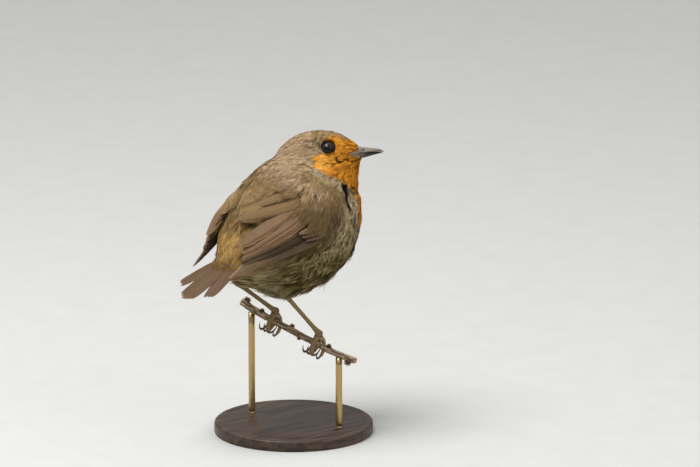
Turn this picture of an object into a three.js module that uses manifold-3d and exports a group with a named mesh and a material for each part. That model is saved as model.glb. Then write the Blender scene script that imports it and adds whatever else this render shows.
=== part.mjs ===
// A life-size European robin, standing at rest on a cut length of twig, on a plain display stand.
// Millimetres, +Z up. The bird faces +X, its right side is towards -Y, and its head is turned to
// its right. The origin is the centre of the stand's underside. Inside the bird's own group all
// places are measured from the middle of its trunk.
import * as THREE from "three";
import { mergeVertices } from "three/addons/utils/BufferGeometryUtils.js";
import Module from "manifold-3d";

const wasm = await Module();
wasm.setup();

// ---- Driving dimensions ----

const BIRD_AT = [-3, 0, 98]; // the trunk's middle, from the origin
const CUT = 0.3; // clear gap between neighbouring pieces
const BODY_GROWTH = 1.014; // a trunk, neck or head scaled by this clears its own size by about CUT
const WING_GROWTH = 1.025; // the same for a shoulder's feathers
const BILL_GROWTH = 1.03; // and for the bill

const HEAD_TURN = -38; // degrees about Z: the head looks to the bird's right
const NECK_PIVOT = [8, 0, 0];
const EYE_RADIUS = 3.5;
const EYE_AT = [11.8, 5.7, 34.4]; // in the head's frame: forward, sideways, up

const WING_OUTWARD = [-0.22, 0.93, 0.3]; // the way that the left wing faces
const VANE_OUTWARD = [-0.25, 0.85, 0.45]; // its flight feathers, each tilted under the one above
const WING_VANE_THICKNESS = 1.3;

const TAIL_FEATHERS = 12;
const TAIL_ROOT = [-26, 0, -10.5];
const TAIL_ROOT_WIDTH = 6;
const TAIL_SPREAD = 24; // across the outermost tips
const TAIL_EDGE_TIP = [-52, -23.1]; // the outermost tips, backwards and up, before the tilt
const TAIL_MIDDLE_TIP = [-60.5, -28];
const TAIL_TILT = 2.6; // how much higher the left edge is carried than the right one
const TAIL_VANE_HALF_WIDTH = 3.4;
const TAIL_VANE_THICKNESS = 1;

const PERCH_YAW = -70; // degrees about Z: the perch's run from the left foot to the right foot
const PERCH_SLOPE = 17.4; // degrees: the perch falls towards the right foot
const PERCH_RADIUS = 1.6;
const PERCH_MIDDLE = [3.4, 0, -51.7];
const PERCH_REACH = [-30, 34]; // its two cut ends, along it from its middle

const FEET_SPACING = 24.4; // along the perch
const TOE_RADIUS = 0.85;
const ANKLE_LIFT = 4.6; // the toes' joint above the perch's axis
const ANKLE_RADIUS = 2;
const HEELS = { left: [-20.4, 10.2, -27.6], right: [-9.8, -10.6, -30.2] };
const HIPS = { left: [-9, 9.5, -16], right: [-3, -9.5, -20] };

const BASE_RADIUS = 36;
const BASE_HEIGHT = 5;
const BASE_EDGE = 1.2; // the chamfer round the base's top
const ROD_RADIUS = 1.5;
const ROD_PLACES = { left: -24, right: 25 }; // along the perch from its middle

// ---- Materials ----

const material = (color, roughness, metalness = 0) =>
  new THREE.MeshStandardMaterial({ color, roughness, metalness });
const plumageBrown = material(0x85735c, 0.85);
const plumageOrange = material(0xc9771f, 0.85);
const flightBrown = material(0x755f4c, 0.8);
const horn = material(0x4d4844, 0.4);
const eyeBlack = material(0x0b0807, 0.05);
const legBrown = material(0x7a4f2c, 0.55);
const clawBrown = material(0x3b2a20, 0.4);
const bark = material(0x6e553b, 0.95);
const standWood = material(0x3a2b20, 0.45);
const standBrass = material(0x9b8050, 0.3, 1);

// ---- Solids ----

const vec = (p) => new THREE.Vector3(...p);
const radians = THREE.MathUtils.degToRad;
const SIDEWAYS = vec([0, 1, 0]);
const UP = vec([0, 0, 1]);
const WELD = 1e-3; // vertices closer than this are one

// A closed geometry as a manifold solid, its faces turned outwards.
function solid(geometry) {
  const bare = geometry.clone();
  bare.deleteAttribute("normal");
  bare.deleteAttribute("uv");
  const merged = mergeVertices(bare, WELD);
  const vertProperties = merged.attributes.position.array;
  const triVerts = new Uint32Array(merged.index.array);
  const made = new wasm.Manifold(new wasm.Mesh({ numProp: 3, vertProperties, triVerts }));
  if (made.volume() > 0) return made;
  triVerts.reverse();
  return new wasm.Manifold(new wasm.Mesh({ numProp: 3, vertProperties, triVerts }));
}

function geometryOf(made) {
  const mesh = made.getMesh();
  const geometry = new THREE.BufferGeometry();
  geometry.setAttribute("position", new THREE.BufferAttribute(mesh.vertProperties.slice(), 3));
  geometry.setIndex(new THREE.BufferAttribute(mesh.triVerts.slice(), 1));
  const flat = geometry.toNonIndexed();
  flat.computeVertexNormals();
  return flat;
}

const joined = (solids) => solids.reduce((whole, next) => whole.add(next));

// The largest of the separate bodies that a cut leaves.
const largest = (made) =>
  made.decompose().reduce((best, next) => (next.volume() > best.volume() ? next : best));

// The same geometry scaled about its own middle.
function grown(geometry, scale) {
  const box = new THREE.Box3().setFromBufferAttribute(geometry.attributes.position);
  const c = box.getCenter(new THREE.Vector3());
  const centred = geometry.clone().translate(-c.x, -c.y, -c.z);
  return centred.scale(scale, scale, scale).translate(c.x, c.y, c.z);
}

// A sphere drawn out so that its poles are the ends t = 0 and t = 1, and place(t, turn) its skin.
function drawnOut(place, around, along) {
  const geometry = new THREE.SphereGeometry(1, around, along);
  const { position, uv } = geometry.attributes;
  for (let i = 0; i < position.count; i++) {
    const turn = 2 * Math.PI * (uv.getX(i) % 1);
    const spot = place(1 - uv.getY(i), turn);
    position.setXYZ(i, spot.x, spot.y, spot.z);
  }
  return geometry;
}

const curveThrough = (points) => new THREE.CatmullRomCurve3(points.map(vec));
const curveOf = (numbers) => curveThrough(numbers.map((n) => [n, 0, 0]));

// A body between an upper and a lower outline that share their end points, with a half width at
// each outline point. A pinch above 0 makes its sections narrower above and wider below.
function betweenOutlines({ upper, lower, halfWidths, side = SIDEWAYS, pinch = 0, around, along }) {
  const top = curveThrough(upper);
  const bottom = curveThrough(lower);
  const width = curveOf(halfWidths);
  return drawnOut(
    (t, turn) => {
      const a = top.getPoint(t);
      const b = bottom.getPoint(t);
      const middle = a.clone().add(b).multiplyScalar(0.5);
      const reach = Math.max(width.getPoint(t).x, 0) * (1 - pinch * Math.cos(turn));
      return middle
        .addScaledVector(a.sub(b), Math.cos(turn) / 2)
        .addScaledVector(side, reach * Math.sin(turn));
    },
    around,
    along,
  );
}

// A round limb along a curve through the points, with a radius at each point and domed ends.
const DOME = 0.12; // the share of a limb's length over which each end closes
function limb(points, radii, around, along) {
  const curve = curveThrough(points);
  const thickness = curveOf(radii);
  return drawnOut(
    (t, turn) => {
      const forward = curve.getTangent(t);
      const across = new THREE.Vector3().crossVectors(forward, SIDEWAYS);
      if (across.lengthSq() < WELD) across.crossVectors(forward, UP);
      across.normalize();
      const other = new THREE.Vector3().crossVectors(forward, across);
      const edge = Math.min(1, t / DOME, (1 - t) / DOME);
      const r = thickness.getPoint(t).x * Math.sqrt(1 - (1 - edge) ** 2);
      return curve
        .getPoint(t)
        .addScaledVector(across, r * Math.cos(turn))
        .addScaledVector(other, r * Math.sin(turn));
    },
    around,
    along,
  );
}

// One flight feather: a thin leaf with a ridge along its shaft, bowed towards its outer face. It is
// narrow at its root and round at its tip.
const VANE_AROUND = 4;
const VANE_ALONG = 6;
const TIP_CROWDING = 1.7; // how far its sections crowd towards the tip
const TIP_ROUNDNESS = 9;
function vane({ root, tip, outward, halfWidth, thickness, bow }) {
  const a = vec(root);
  const b = vec(tip);
  const forward = b.clone().sub(a).normalize();
  const across = new THREE.Vector3().crossVectors(outward, forward).normalize();
  const face = new THREE.Vector3().crossVectors(forward, across);
  const middle = a.clone().add(b).multiplyScalar(0.5).addScaledVector(face, bow);
  const shaft = new THREE.QuadraticBezierCurve3(a, middle, b);
  return drawnOut(
    (share, turn) => {
      const t = 1 - (1 - share) ** TIP_CROWDING;
      const rounding = Math.sqrt(1 - t ** TIP_ROUNDNESS) * Math.sqrt(Math.min(1, share / 0.1));
      const width = halfWidth * Math.min(1, 0.5 + t) * rounding;
      return shaft
        .getPoint(t)
        .addScaledVector(across, width * Math.cos(turn))
        .addScaledVector(face, (thickness / 2) * rounding * Math.sin(turn));
    },
    VANE_AROUND,
    VANE_ALONG,
  );
}

const sides = ["left", "right"];
const sideSign = { left: 1, right: -1 };

// ---- Trunk, neck and head ----

function trunkShape() {
  return betweenOutlines({
    upper: [
      [-40, 0, -17],
      [-37, 0, -9],
      [-33.5, 0, 1],
      [-28, 0, 11],
      [-20.5, 0, 20.5],
      [-11, 0, 27.5],
      [0, 0, 31.5],
      [11, 0, 30],
      [21, 0, 23.5],
      [27, 0, 14],
    ],
    lower: [
      [-40, 0, -17],
      [-34, 0, -22.5],
      [-25, 0, -28],
      [-13, 0, -32.8],
      [0, 0, -34.2],
      [12, 0, -30.8],
      [22.5, 0, -22.5],
      [29.5, 0, -10.5],
      [31.5, 0, 2.5],
      [27, 0, 14],
    ],
    halfWidths: [0, 7.5, 14, 20, 24, 26, 26, 24, 18, 0],
    pinch: 0.05,
    around: 20,
    along: 15,
  });
}

function neckShape() {
  return limb(
    [
      [6, 0, 2],
      [12.5, -3, 13],
      [16.5, -5, 21.5],
      [15.5, -5, 33],
    ],
    [20, 19, 15.6, 7],
    16,
    8,
  );
}

// The head and the bill are modelled looking along +X and turned afterwards.
function headShape() {
  return betweenOutlines({
    upper: [
      [-14, 0, 23],
      [-12.5, 0, 29.5],
      [-7.8, 0, 35.8],
      [-1.5, 0, 39.8],
      [5, 0, 41.5],
      [11, 0, 41.4],
      [16.5, 0, 39.9],
      [21, 0, 37.4],
      [24.6, 0, 34.8],
      [27.8, 0, 31.8],
    ],
    lower: [
      [-14, 0, 23],
      [-11, 0, 18],
      [-4, 0, 13],
      [4, 0, 9],
      [12, 0, 8],
      [19.5, 0, 11],
      [23.6, 0, 17],
      [25, 0, 23],
      [26.4, 0, 28],
      [27.8, 0, 31.8],
    ],
    halfWidths: [0, 7, 10.3, 11.6, 11.9, 11.4, 9.9, 7.8, 5, 0],
    pinch: 0.12,
    around: 16,
    along: 12,
  });
}

const turnedHead = new THREE.Matrix4()
  .makeRotationZ(radians(HEAD_TURN))
  .setPosition(...NECK_PIVOT);
const onHead = (geometry) => geometry.applyMatrix4(turnedHead);

function eyeball(side, radius) {
  const [forward, aside, up] = EYE_AT;
  return onHead(new THREE.SphereGeometry(radius, 12, 8).translate(forward, sideSign[side] * aside, up));
}

// The upper half of the bill overhangs the lower one a little at the tip.
function upperBill() {
  return betweenOutlines({
    upper: [
      [19, 0, 32],
      [23, 0, 33.8],
      [28, 0, 33.5],
      [32.5, 0, 33],
      [35.4, 0, 32.4],
      [37.1, 0, 31.2],
    ],
    lower: [
      [19, 0, 32],
      [22, 0, 30.9],
      [27, 0, 31],
      [32, 0, 31.3],
      [35, 0, 31.5],
      [37.1, 0, 31.2],
    ],
    halfWidths: [0, 3.1, 2.5, 1.6, 0.95, 0],
    pinch: 0.25,
    around: 8,
    along: 9,
  });
}

function lowerBill() {
  return betweenOutlines({
    upper: [
      [19, 0, 30],
      [22, 0, 30.6],
      [27, 0, 30.7],
      [32, 0, 31],
      [35, 0, 31.2],
      [36.4, 0, 31],
    ],
    lower: [
      [19, 0, 30],
      [22, 0, 28],
      [27, 0, 28.4],
      [31.5, 0, 29.6],
      [34.8, 0, 30.5],
      [36.4, 0, 31],
    ],
    halfWidths: [0, 2.9, 2.3, 1.45, 0.8, 0],
    pinch: -0.2,
    around: 8,
    along: 9,
  });
}

// ---- Wings ----

// Everything here is for the left wing, and the right one mirrors it. The shoulder is the pad of
// scapulars and coverts that lies over the body and over the roots of the flight feathers.
function shoulderShape() {
  return betweenOutlines({
    upper: [
      [16, 20, 7],
      [9, 20, 15],
      [-2, 18.5, 18],
      [-13, 14.5, 16],
      [-23, 9, 12],
      [-33, 4.7, 6.2],
    ],
    lower: [
      [16, 20, 7],
      [12.5, 24, -1],
      [5, 26, -6],
      [-6, 24.5, -4.5],
      [-20, 15.5, 3],
      [-33, 4.7, 6.2],
    ],
    halfWidths: [0, 3.6, 4.8, 4.6, 3.4, 0],
    side: vec(WING_OUTWARD),
    around: 10,
    along: 10,
  });
}

// A row of flight feathers whose roots and tips each lie on a straight line.
function vaneRow({ count, roots, tips, halfWidth, bow }) {
  const outward = vec(VANE_OUTWARD);
  const thickness = WING_VANE_THICKNESS;
  const vanes = [];
  for (let i = 0; i < count; i++) {
    const share = i / (count - 1);
    const [root, tip] = [roots, tips].map(([from, to]) => vec(from).lerp(vec(to), share).toArray());
    vanes.push(solid(vane({ root, tip, outward, halfWidth, thickness, bow })));
  }
  return joined(vanes);
}

function secondaryFeathers() {
  return vaneRow({
    count: 5,
    roots: [
      [-4, 24.5, 8],
      [2, 26.5, -1],
    ],
    tips: [
      [-37, 11, -3.5],
      [-36, 14, -10.5],
    ],
    halfWidth: 3.8,
    bow: 5.6,
  });
}

function primaryFeathers() {
  return vaneRow({
    count: 4,
    roots: [
      [2, 26, -1],
      [5, 26, -3.5],
    ],
    tips: [
      [-38.5, 14, -11.5],
      [-44.5, 13.5, -17],
    ],
    halfWidth: 3.4,
    bow: 7.5,
  });
}

// ---- Tail ----

// The feathers fan out from one root. The middle ones reach farthest back and hang lowest.
function tailShape() {
  const vanes = [];
  for (let i = 0; i < TAIL_FEATHERS; i++) {
    const fan = i / (TAIL_FEATHERS - 1) - 0.5; // -0.5 on the right to 0.5 on the left
    const inward = 1 - Math.abs(2 * fan);
    const [back, up] = [0, 1].map((k) =>
      THREE.MathUtils.lerp(TAIL_EDGE_TIP[k], TAIL_MIDDLE_TIP[k], inward),
    );
    const feather = vane({
      root: [TAIL_ROOT[0], TAIL_ROOT[1] + TAIL_ROOT_WIDTH * fan, TAIL_ROOT[2]],
      tip: [back, TAIL_SPREAD * fan, up + TAIL_TILT * fan],
      outward: vec([0.5, -0.3 * fan, 1]),
      halfWidth: TAIL_VANE_HALF_WIDTH,
      thickness: TAIL_VANE_THICKNESS,
      bow: 0.6,
    });
    vanes.push(solid(feather));
  }
  return joined(vanes);
}

// ---- Perch ----

// The perch's own frame: x along it towards the right foot, y forwards, z up.
const perchFrame = new THREE.Matrix4()
  .makeRotationZ(radians(PERCH_YAW))
  .multiply(new THREE.Matrix4().makeRotationY(radians(PERCH_SLOPE)))
  .setPosition(...PERCH_MIDDLE);
const onPerch = (p) => vec(p).applyMatrix4(perchFrame).toArray();

// A place in the perch's frame, from how far along it, which way round it and how far out.
function roundPerch(along, turn, out) {
  const angle = radians(turn);
  return onPerch([along, out * Math.cos(angle), out * Math.sin(angle)]);
}

// Short side shoots: their place along the perch, the angle round it, and their size.
const KNOBS = [
  { at: -28, turn: 70, size: 3 },
  { at: -18.5, turn: 100, size: 2 },
  { at: -2, turn: 75, size: 2.2 },
  { at: 3.5, turn: 250, size: 1.6 },
  { at: 19, turn: 95, size: 2 },
  { at: 31, turn: 230, size: 3 },
];

// The twig is made longer than it is, so that its ends can be cut square.
const PERCH_SPARE = 6;
function twigShape(extra) {
  const [start, end] = PERCH_REACH;
  return limb(
    [
      [start - PERCH_SPARE, 0.6, 1.2],
      [start / 2, 0, 0.2],
      [0, 0, 0],
      [end / 2, 0, 0],
      [end + PERCH_SPARE, -0.4, 2.2],
    ].map(onPerch),
    [1.8, 1.65, PERCH_RADIUS, 1.55, 1.45].map((radius) => radius + extra),
    9,
    12,
  );
}

function perchPiece() {
  const knobs = KNOBS.map(({ at, turn, size }) => {
    const sunk = 0.3 * size;
    const knob = new THREE.SphereGeometry(size / 2, 6, 5).scale(1, 1.25, 1.25);
    return solid(knob.translate(...roundPerch(at, turn, PERCH_RADIUS + size / 2 - sunk)));
  });
  const [start, end] = PERCH_REACH;
  const wide = 40;
  const kept = new THREE.BoxGeometry(end - start, wide, wide).translate((start + end) / 2, 0, 0);
  return largest(joined([solid(twigShape(0)), ...knobs]).intersect(solid(kept.applyMatrix4(perchFrame))));
}

// ---- Legs ----

// Toes as they lie round the perch. The turns are angles round it, from its front over its top (90)
// to its back (180). The lie is where the toe runs along the perch, in toe widths.
const TOES = [
  { name: "1", from: 120, to: 265, lie: [0, 0.5], radius: 1 },
  { name: "2", from: 62, to: -90, lie: [-0.9, -2], radius: 0.85 },
  { name: "3", from: 66, to: -100, lie: [0, -0.7], radius: 0.95 },
  { name: "4", from: 62, to: -88, lie: [0.9, 2.1], radius: 0.85 },
];
const TOE_STEPS = 6;
const TOE_TAPER = 0.25;
const TOE_SAG = 2.4; // a gripping toe hangs this far clear of the perch below it
const CLAW_RADII = [0.62, 0.6, 0.5, 0.36, 0.26];
const CLAW_START = 16; // degrees round the perch from the toe's end
const CLAW_TURN = 50; // degrees round the perch that a claw covers
const CLAW_LIFT = 0.5;

// A place on the ring that a toe follows round the perch.
function onRing(foot, turn, lie, lift = 0) {
  const below = Math.max(0, -Math.sin(radians(turn)));
  const reach = PERCH_RADIUS + TOE_RADIUS + 2 * CUT + TOE_SAG * below + lift;
  return roundPerch(foot + lie * 2 * TOE_RADIUS, turn, reach);
}

function toeShape(foot, ankle, { from, to, lie, radius }) {
  const points = [ankle];
  for (let i = 0; i <= TOE_STEPS; i++) {
    const share = i / TOE_STEPS;
    const turn = THREE.MathUtils.lerp(from, to, share);
    points.push(onRing(foot, turn, THREE.MathUtils.lerp(lie[0], lie[1], share)));
  }
  const radii = points.map((_, i) => radius * (1.05 - (TOE_TAPER * i) / points.length));
  return limb(points, radii, 6, 9);
}

function clawShape(foot, { from, to, lie }) {
  const way = Math.sign(to - from);
  const points = CLAW_RADII.map((_, i) => {
    const share = i / (CLAW_RADII.length - 1);
    const turn = to + way * (CLAW_START + CLAW_TURN * share);
    return onRing(foot, turn, lie[1] * (1 + 0.25 * share), CLAW_LIFT * Math.sin(Math.PI * share));
  });
  return limb(points, CLAW_RADII, 6, 6);
}

// The shank comes out of the thigh's feathers at the heel and runs to the toes' joint.
const THIGH_RADII = [9, 4.8, 2.6];
const SHANK_RADII = [1.6, 1.3, 1, 1.15, 1.5];
function legPieces(side, body) {
  const foot = (-sideSign[side] * FEET_SPACING) / 2;
  const ankle = onPerch([foot, 0.6, ANKLE_LIFT]);
  const leg = (share) => vec(HEELS[side]).lerp(vec(ankle), share).toArray();
  const thighShape = (extra) => {
    const radii = THIGH_RADII.map((radius) => radius + extra);
    return solid(limb([HIPS[side], leg(-0.16), leg(0.1)], radii, 8, 8));
  };
  const shank = solid(limb([leg(0), leg(0.12), leg(0.5), leg(0.86), leg(1)], SHANK_RADII, 8, 9));
  const joint = (radius) => solid(new THREE.SphereGeometry(radius, 8, 6).translate(...ankle));
  const toes = TOES.map((toe) => solid(toeShape(foot, ankle, toe)));
  return {
    thigh: largest(thighShape(0).subtract(body)),
    shank: largest(shank.subtract(joined([body, thighShape(CUT), joint(ANKLE_RADIUS + CUT)]))),
    foot: joined([...toes, joint(ANKLE_RADIUS)]),
    claws: TOES.map((toe) => solid(clawShape(foot, toe))),
  };
}

// ---- Stand ----

function baseShape() {
  const outline = [
    [0, 0],
    [BASE_RADIUS, 0],
    [BASE_RADIUS, BASE_HEIGHT - BASE_EDGE],
    [BASE_RADIUS - BASE_EDGE, BASE_HEIGHT],
    [0, BASE_HEIGHT],
  ].map(([r, h]) => new THREE.Vector2(r, h));
  return new THREE.LatheGeometry(outline, 40).rotateX(Math.PI / 2);
}

// A rod from the base up to the perch's axis, in the bird's frame.
function rodShape(along) {
  const top = vec(onPerch([along, 0, 0]));
  const bottom = BASE_HEIGHT + CUT - BIRD_AT[2];
  const rod = new THREE.CylinderGeometry(ROD_RADIUS, ROD_RADIUS, top.z - bottom, 16);
  return rod.rotateX(Math.PI / 2).translate(top.x, top.y, (top.z + bottom) / 2);
}

// ---- The whole model ----

const robin = new THREE.Group();
const bird = new THREE.Group();
bird.position.set(...BIRD_AT);
robin.add(bird);

function addNode(name, made, look) {
  const mesh = new THREE.Mesh(geometryOf(made), look);
  mesh.name = name;
  bird.add(mesh);
}

// Head, neck and trunk are one flesh, parted by two planes with a clear gap.
const HEAD_PLANE = { centre: [8, -6, 20], tiltY: 24, tiltZ: HEAD_TURN };
const NECK_PLANE = { centre: [8, -3, 13], tiltY: 23, tiltZ: HEAD_TURN / 2 };
function halfAbove({ centre, tiltY, tiltZ }, offset) {
  const reach = 200;
  const half = new THREE.BoxGeometry(reach, reach, reach).translate(0, 0, reach / 2 + offset);
  return solid(half.rotateY(radians(tiltY)).rotateZ(radians(tiltZ)).translate(...centre));
}

const bodyShapes = [trunkShape(), neckShape(), onHead(headShape())];
const body = joined(bodyShapes.map(solid));
const bodyCleared = joined(bodyShapes.map((shape) => solid(grown(shape, BODY_GROWTH))));
const billShapes = [upperBill(), lowerBill()].map(onHead);
const eyeSockets = sides.map((side) => solid(eyeball(side, EYE_RADIUS + CUT)));
const carved = [...billShapes.map((shape) => solid(grown(shape, BILL_GROWTH))), ...eyeSockets];
const flesh = body.subtract(joined(carved));
const belowHead = flesh.subtract(halfAbove(HEAD_PLANE, -CUT));

addNode("head", largest(flesh.intersect(halfAbove(HEAD_PLANE, 0))), plumageOrange);
addNode("neck", largest(belowHead.intersect(halfAbove(NECK_PLANE, 0))), plumageBrown);
addNode("trunk", largest(belowHead.subtract(halfAbove(NECK_PLANE, -CUT))), plumageBrown);
addNode("bill_upper", solid(billShapes[0]), horn);
addNode("bill_lower", solid(billShapes[1]), horn);
for (const side of sides) addNode(`eye_${side}`, solid(eyeball(side, EYE_RADIUS)), eyeBlack);

const mirror = new THREE.Matrix4().makeScale(1, -1, 1);
const shoulderCleared = solid(grown(shoulderShape(), WING_GROWTH));
const secondaries = secondaryFeathers();
const wing = {
  shoulder: solid(shoulderShape()),
  secondaries: secondaries.subtract(shoulderCleared),
  primaries: primaryFeathers().subtract(shoulderCleared).subtract(secondaries),
};
for (const side of sides) {
  for (const [piece, made] of Object.entries(wing)) {
    const sided = side === "left" ? made : solid(geometryOf(made).applyMatrix4(mirror));
    const look = piece === "shoulder" ? plumageBrown : flightBrown;
    addNode(`wing_${side}_${piece}`, largest(sided.subtract(bodyCleared)), look);
  }
}

addNode("tail", largest(tailShape().subtract(bodyCleared)), flightBrown);
addNode("perch_twig", perchPiece(), bark);

for (const side of sides) {
  const { thigh, shank, foot, claws } = legPieces(side, bodyCleared);
  addNode(`thigh_${side}`, thigh, plumageBrown);
  addNode(`shank_${side}`, shank, legBrown);
  addNode(`foot_${side}`, foot, legBrown);
  claws.forEach((claw, i) => addNode(`claw_${side}_${TOES[i].name}`, claw, clawBrown));
}

const down = BIRD_AT.map((n) => -n);
addNode("stand_base", solid(baseShape().translate(...down)), standWood);
const perchCleared = solid(twigShape(CUT));
for (const side of sides) {
  const rod = solid(rodShape(ROD_PLACES[side])).subtract(perchCleared);
  addNode(`stand_rod_${side}`, largest(rod), standBrass);
}

export default robin;
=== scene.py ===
"""A life-size European robin, still, on a cut length of larch twig held by a plain display stand.

Places are in millimetres from the middle of the bird's trunk until a mesh is made. The bird faces +X and
its right side is towards -Y. The head has a frame of its own: forward, to its left, up.
"""

import math

import bpy
import numpy as np
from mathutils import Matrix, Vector
from mathutils.bvhtree import BVHTree


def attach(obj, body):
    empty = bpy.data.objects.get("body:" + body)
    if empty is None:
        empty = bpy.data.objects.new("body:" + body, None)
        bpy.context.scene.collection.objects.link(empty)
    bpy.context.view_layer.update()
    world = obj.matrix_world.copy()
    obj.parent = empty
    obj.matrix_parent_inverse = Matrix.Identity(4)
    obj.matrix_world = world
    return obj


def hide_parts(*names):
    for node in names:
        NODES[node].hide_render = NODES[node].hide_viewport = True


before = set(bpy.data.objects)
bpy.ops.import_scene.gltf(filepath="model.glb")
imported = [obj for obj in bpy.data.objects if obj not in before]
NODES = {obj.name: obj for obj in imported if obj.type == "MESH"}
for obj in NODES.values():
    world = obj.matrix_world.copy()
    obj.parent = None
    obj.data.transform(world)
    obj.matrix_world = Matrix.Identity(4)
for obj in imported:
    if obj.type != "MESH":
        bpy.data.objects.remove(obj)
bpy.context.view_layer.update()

MM = 0.001
TRUNK = np.array([-3.0, 0.0, 98.0])  # the trunk's middle in the row frame
UP = np.array([0.0, 0.0, 1.0])
RIGHT, LEFT = -1, 1
SIDES = {"right": RIGHT, "left": LEFT}
random = np.random.default_rng(7)

# ---- Small helpers ----


def vec(*numbers):
    return np.array(numbers, float)


def norm(v):
    return np.linalg.norm(v, axis=-1)


def unit(v):
    return v / np.maximum(norm(v)[..., None], 1e-9)


def dot(a, b):
    return (a * b).sum(-1)


def smooth(low, high, x):
    """0 at low and 1 at high, with soft ends."""
    t = np.clip((np.asarray(x, float) - low) / (high - low), 0, 1)
    return t * t * (3 - 2 * t)


def bell(x, width=1.0):
    """1 where x is 0, falling off over the width."""
    return np.exp(-((x / width) ** 2))


def mix(a, b, t):
    return a * (1 - t) + b * t


def layered(under, *layers):
    """Colours or ways with others laid over them in turn, each with a share for every place."""
    for over, share in layers:
        under = mix(under, over, np.asarray(share, float)[..., None])
    return under


def noise(p, size, seed=0):
    """Smooth random numbers from 0 to 1, with lumps of that size."""
    q = p / size
    cell = np.floor(q).astype(np.int64)
    f = q - cell
    f = f * f * (3 - 2 * f)
    total = np.zeros(len(p))
    for corner in range(8):
        step = np.array([corner & 1, corner >> 1 & 1, corner >> 2 & 1])
        a, b, c = ((cell + step) * [73856093, 19349663, 83492791]).T
        h = a ^ b ^ c ^ (seed + 1) * 2654435761
        h = (h ^ h >> 13) * 1274126177 & 0xFFFFFFFF
        h = (h ^ h >> 16) & 0xFFFF
        total += h / 65535 * np.prod(np.where(step, f, 1 - f), axis=1)
    return total


def tangent(direction, normal):
    return unit(direction - dot(direction, normal)[:, None] * normal)


def beside_line(p, a, b, most=1.0):
    """How far along the line from a to b these places are, as a share, and how they lie off it."""
    a, b = np.asarray(a, float), np.asarray(b, float)
    t = np.clip((p - a) @ (b - a) / dot(b - a, b - a), 0, most)
    return t, p - a - t[:, None] * (b - a)


def line_distance(p, corners):
    return np.min([norm(beside_line(p, a, b)[1]) for a, b in zip(corners, corners[1:])], axis=0)


def inside_outline(x, y, corners):
    """How far places in a plane are inside a closed outline, negative outside."""
    closed = [*corners, corners[0]]
    crossings = sum(
        ((ay > y) != (by > y)) & (x < ax + (y - ay) * (bx - ax) / (by - ay or 1))
        for (ax, ay), (bx, by) in zip(closed, closed[1:])
    )
    return line_distance(np.stack([x, y], 1), closed) * np.where(crossings % 2, 1, -1)


# ---- The head's frame ----


def about_up(angle):
    c, s = math.cos(angle), math.sin(angle)
    return np.array([[c, -s, 0], [s, c, 0], [0, 0, 1]])


NECK_PIVOT = vec(8, 0, 0)
TURN = about_up(math.radians(-38))
HEAD_PLANE_AT = vec(8, -6, 20)
HEAD_PLANE_UP = unit(vec(0.321, -0.251, 0.914))
EYE_AT = vec(11.8, 5.7, 33.9)
EYE_RADIUS = 3.5
EYE_OPENING = 2.72
EYE_WAY = unit(vec(0.12, 0.98, 0.14))  # where the left eye looks
BILL_BASE = vec(27.0, 0, 31.6)


def from_head(p):
    return np.asarray(p, float) @ TURN.T + NECK_PIVOT


def to_head(p):
    return (p - NECK_PIVOT) @ TURN


def above_neck(p):
    return (p - HEAD_PLANE_AT) @ HEAD_PLANE_UP


def eye_places():
    for side in SIDES.values():
        flip = vec(1, side, 1)
        yield from_head(EYE_AT * flip), unit(EYE_WAY * flip @ TURN.T)


def eye_distance(p, out=0.0):
    """Distance to the nearer eye, from that far out in front of its middle."""
    return np.min([norm(p - place - out * way) for place, way in eye_places()], axis=0)


# ---- Meshes ----


def new_object(name, points, faces):
    """A mesh object from points in millimetres and faces that all have as many corners."""
    mesh = bpy.data.meshes.new(name)
    points = np.ascontiguousarray((points + TRUNK) * MM, np.float32)
    faces = np.ascontiguousarray(faces, np.int32)
    count, corners = faces.shape
    mesh.vertices.add(len(points))
    mesh.vertices.foreach_set("co", points.ravel())
    mesh.loops.add(count * corners)
    mesh.loops.foreach_set("vertex_index", faces.ravel())
    mesh.polygons.add(count)
    mesh.polygons.foreach_set("loop_start", np.arange(0, count * corners, corners, dtype=np.int32))
    mesh.polygons.foreach_set("use_smooth", np.ones(count, bool))
    mesh.update(calc_edges=True)
    made = bpy.data.objects.new(name, mesh)
    bpy.context.scene.collection.objects.link(made)
    return made


def paint(obj, name, values):
    """A colour for each vertex, as a colour attribute."""
    rgba = np.ones((len(values), 4), np.float32)
    rgba[:, :3] = np.clip(values, 0, 1)
    attribute = obj.data.color_attributes.new(name, "FLOAT_COLOR", "POINT")
    attribute.data.foreach_set("color", rgba.ravel())


def add_piece(name, points, faces, look, slot, *replaced, **painted):
    """A visible piece of the model, on its one body, in place of any CAD nodes named."""
    piece = new_object(name, points, faces)
    for attribute, colours in painted.items():
        paint(piece, attribute, colours)
    piece.data.materials.append(look)
    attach(piece, "root")
    if replaced:
        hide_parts(*replaced)
    return piece


def read(items, field, width, kind=np.int32):
    found = np.empty(len(items) * width, kind)
    items.foreach_get(field, found)
    return found.reshape(-1, width)


def points_of(mesh):
    return read(mesh.vertices, "co", 3, np.float32).astype(float) / MM - TRUNK


def triangles_of(mesh):
    mesh.calc_loop_triangles()
    return read(mesh.loop_triangles, "vertices", 3)


def normals_of(points, faces):
    a, b, c = (points[faces[:, k]] for k in range(3))
    across = np.cross(b - a, c - a)
    total = np.zeros_like(points)
    for k in range(faces.shape[1]):
        np.add.at(total, faces[:, k], across)
    return unit(total)


def node_mesh(name):
    """A CAD node's points and triangles, welded."""
    mesh = NODES[name].data
    points, faces = points_of(mesh), triangles_of(mesh)
    keys = np.round(points * 100).astype(np.int64)
    _, first, where = np.unique(keys, axis=0, return_index=True, return_inverse=True)
    faces = where.reshape(-1)[faces]
    return points[first], faces[(faces != np.roll(faces, 1, axis=1)).all(1)]


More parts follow.
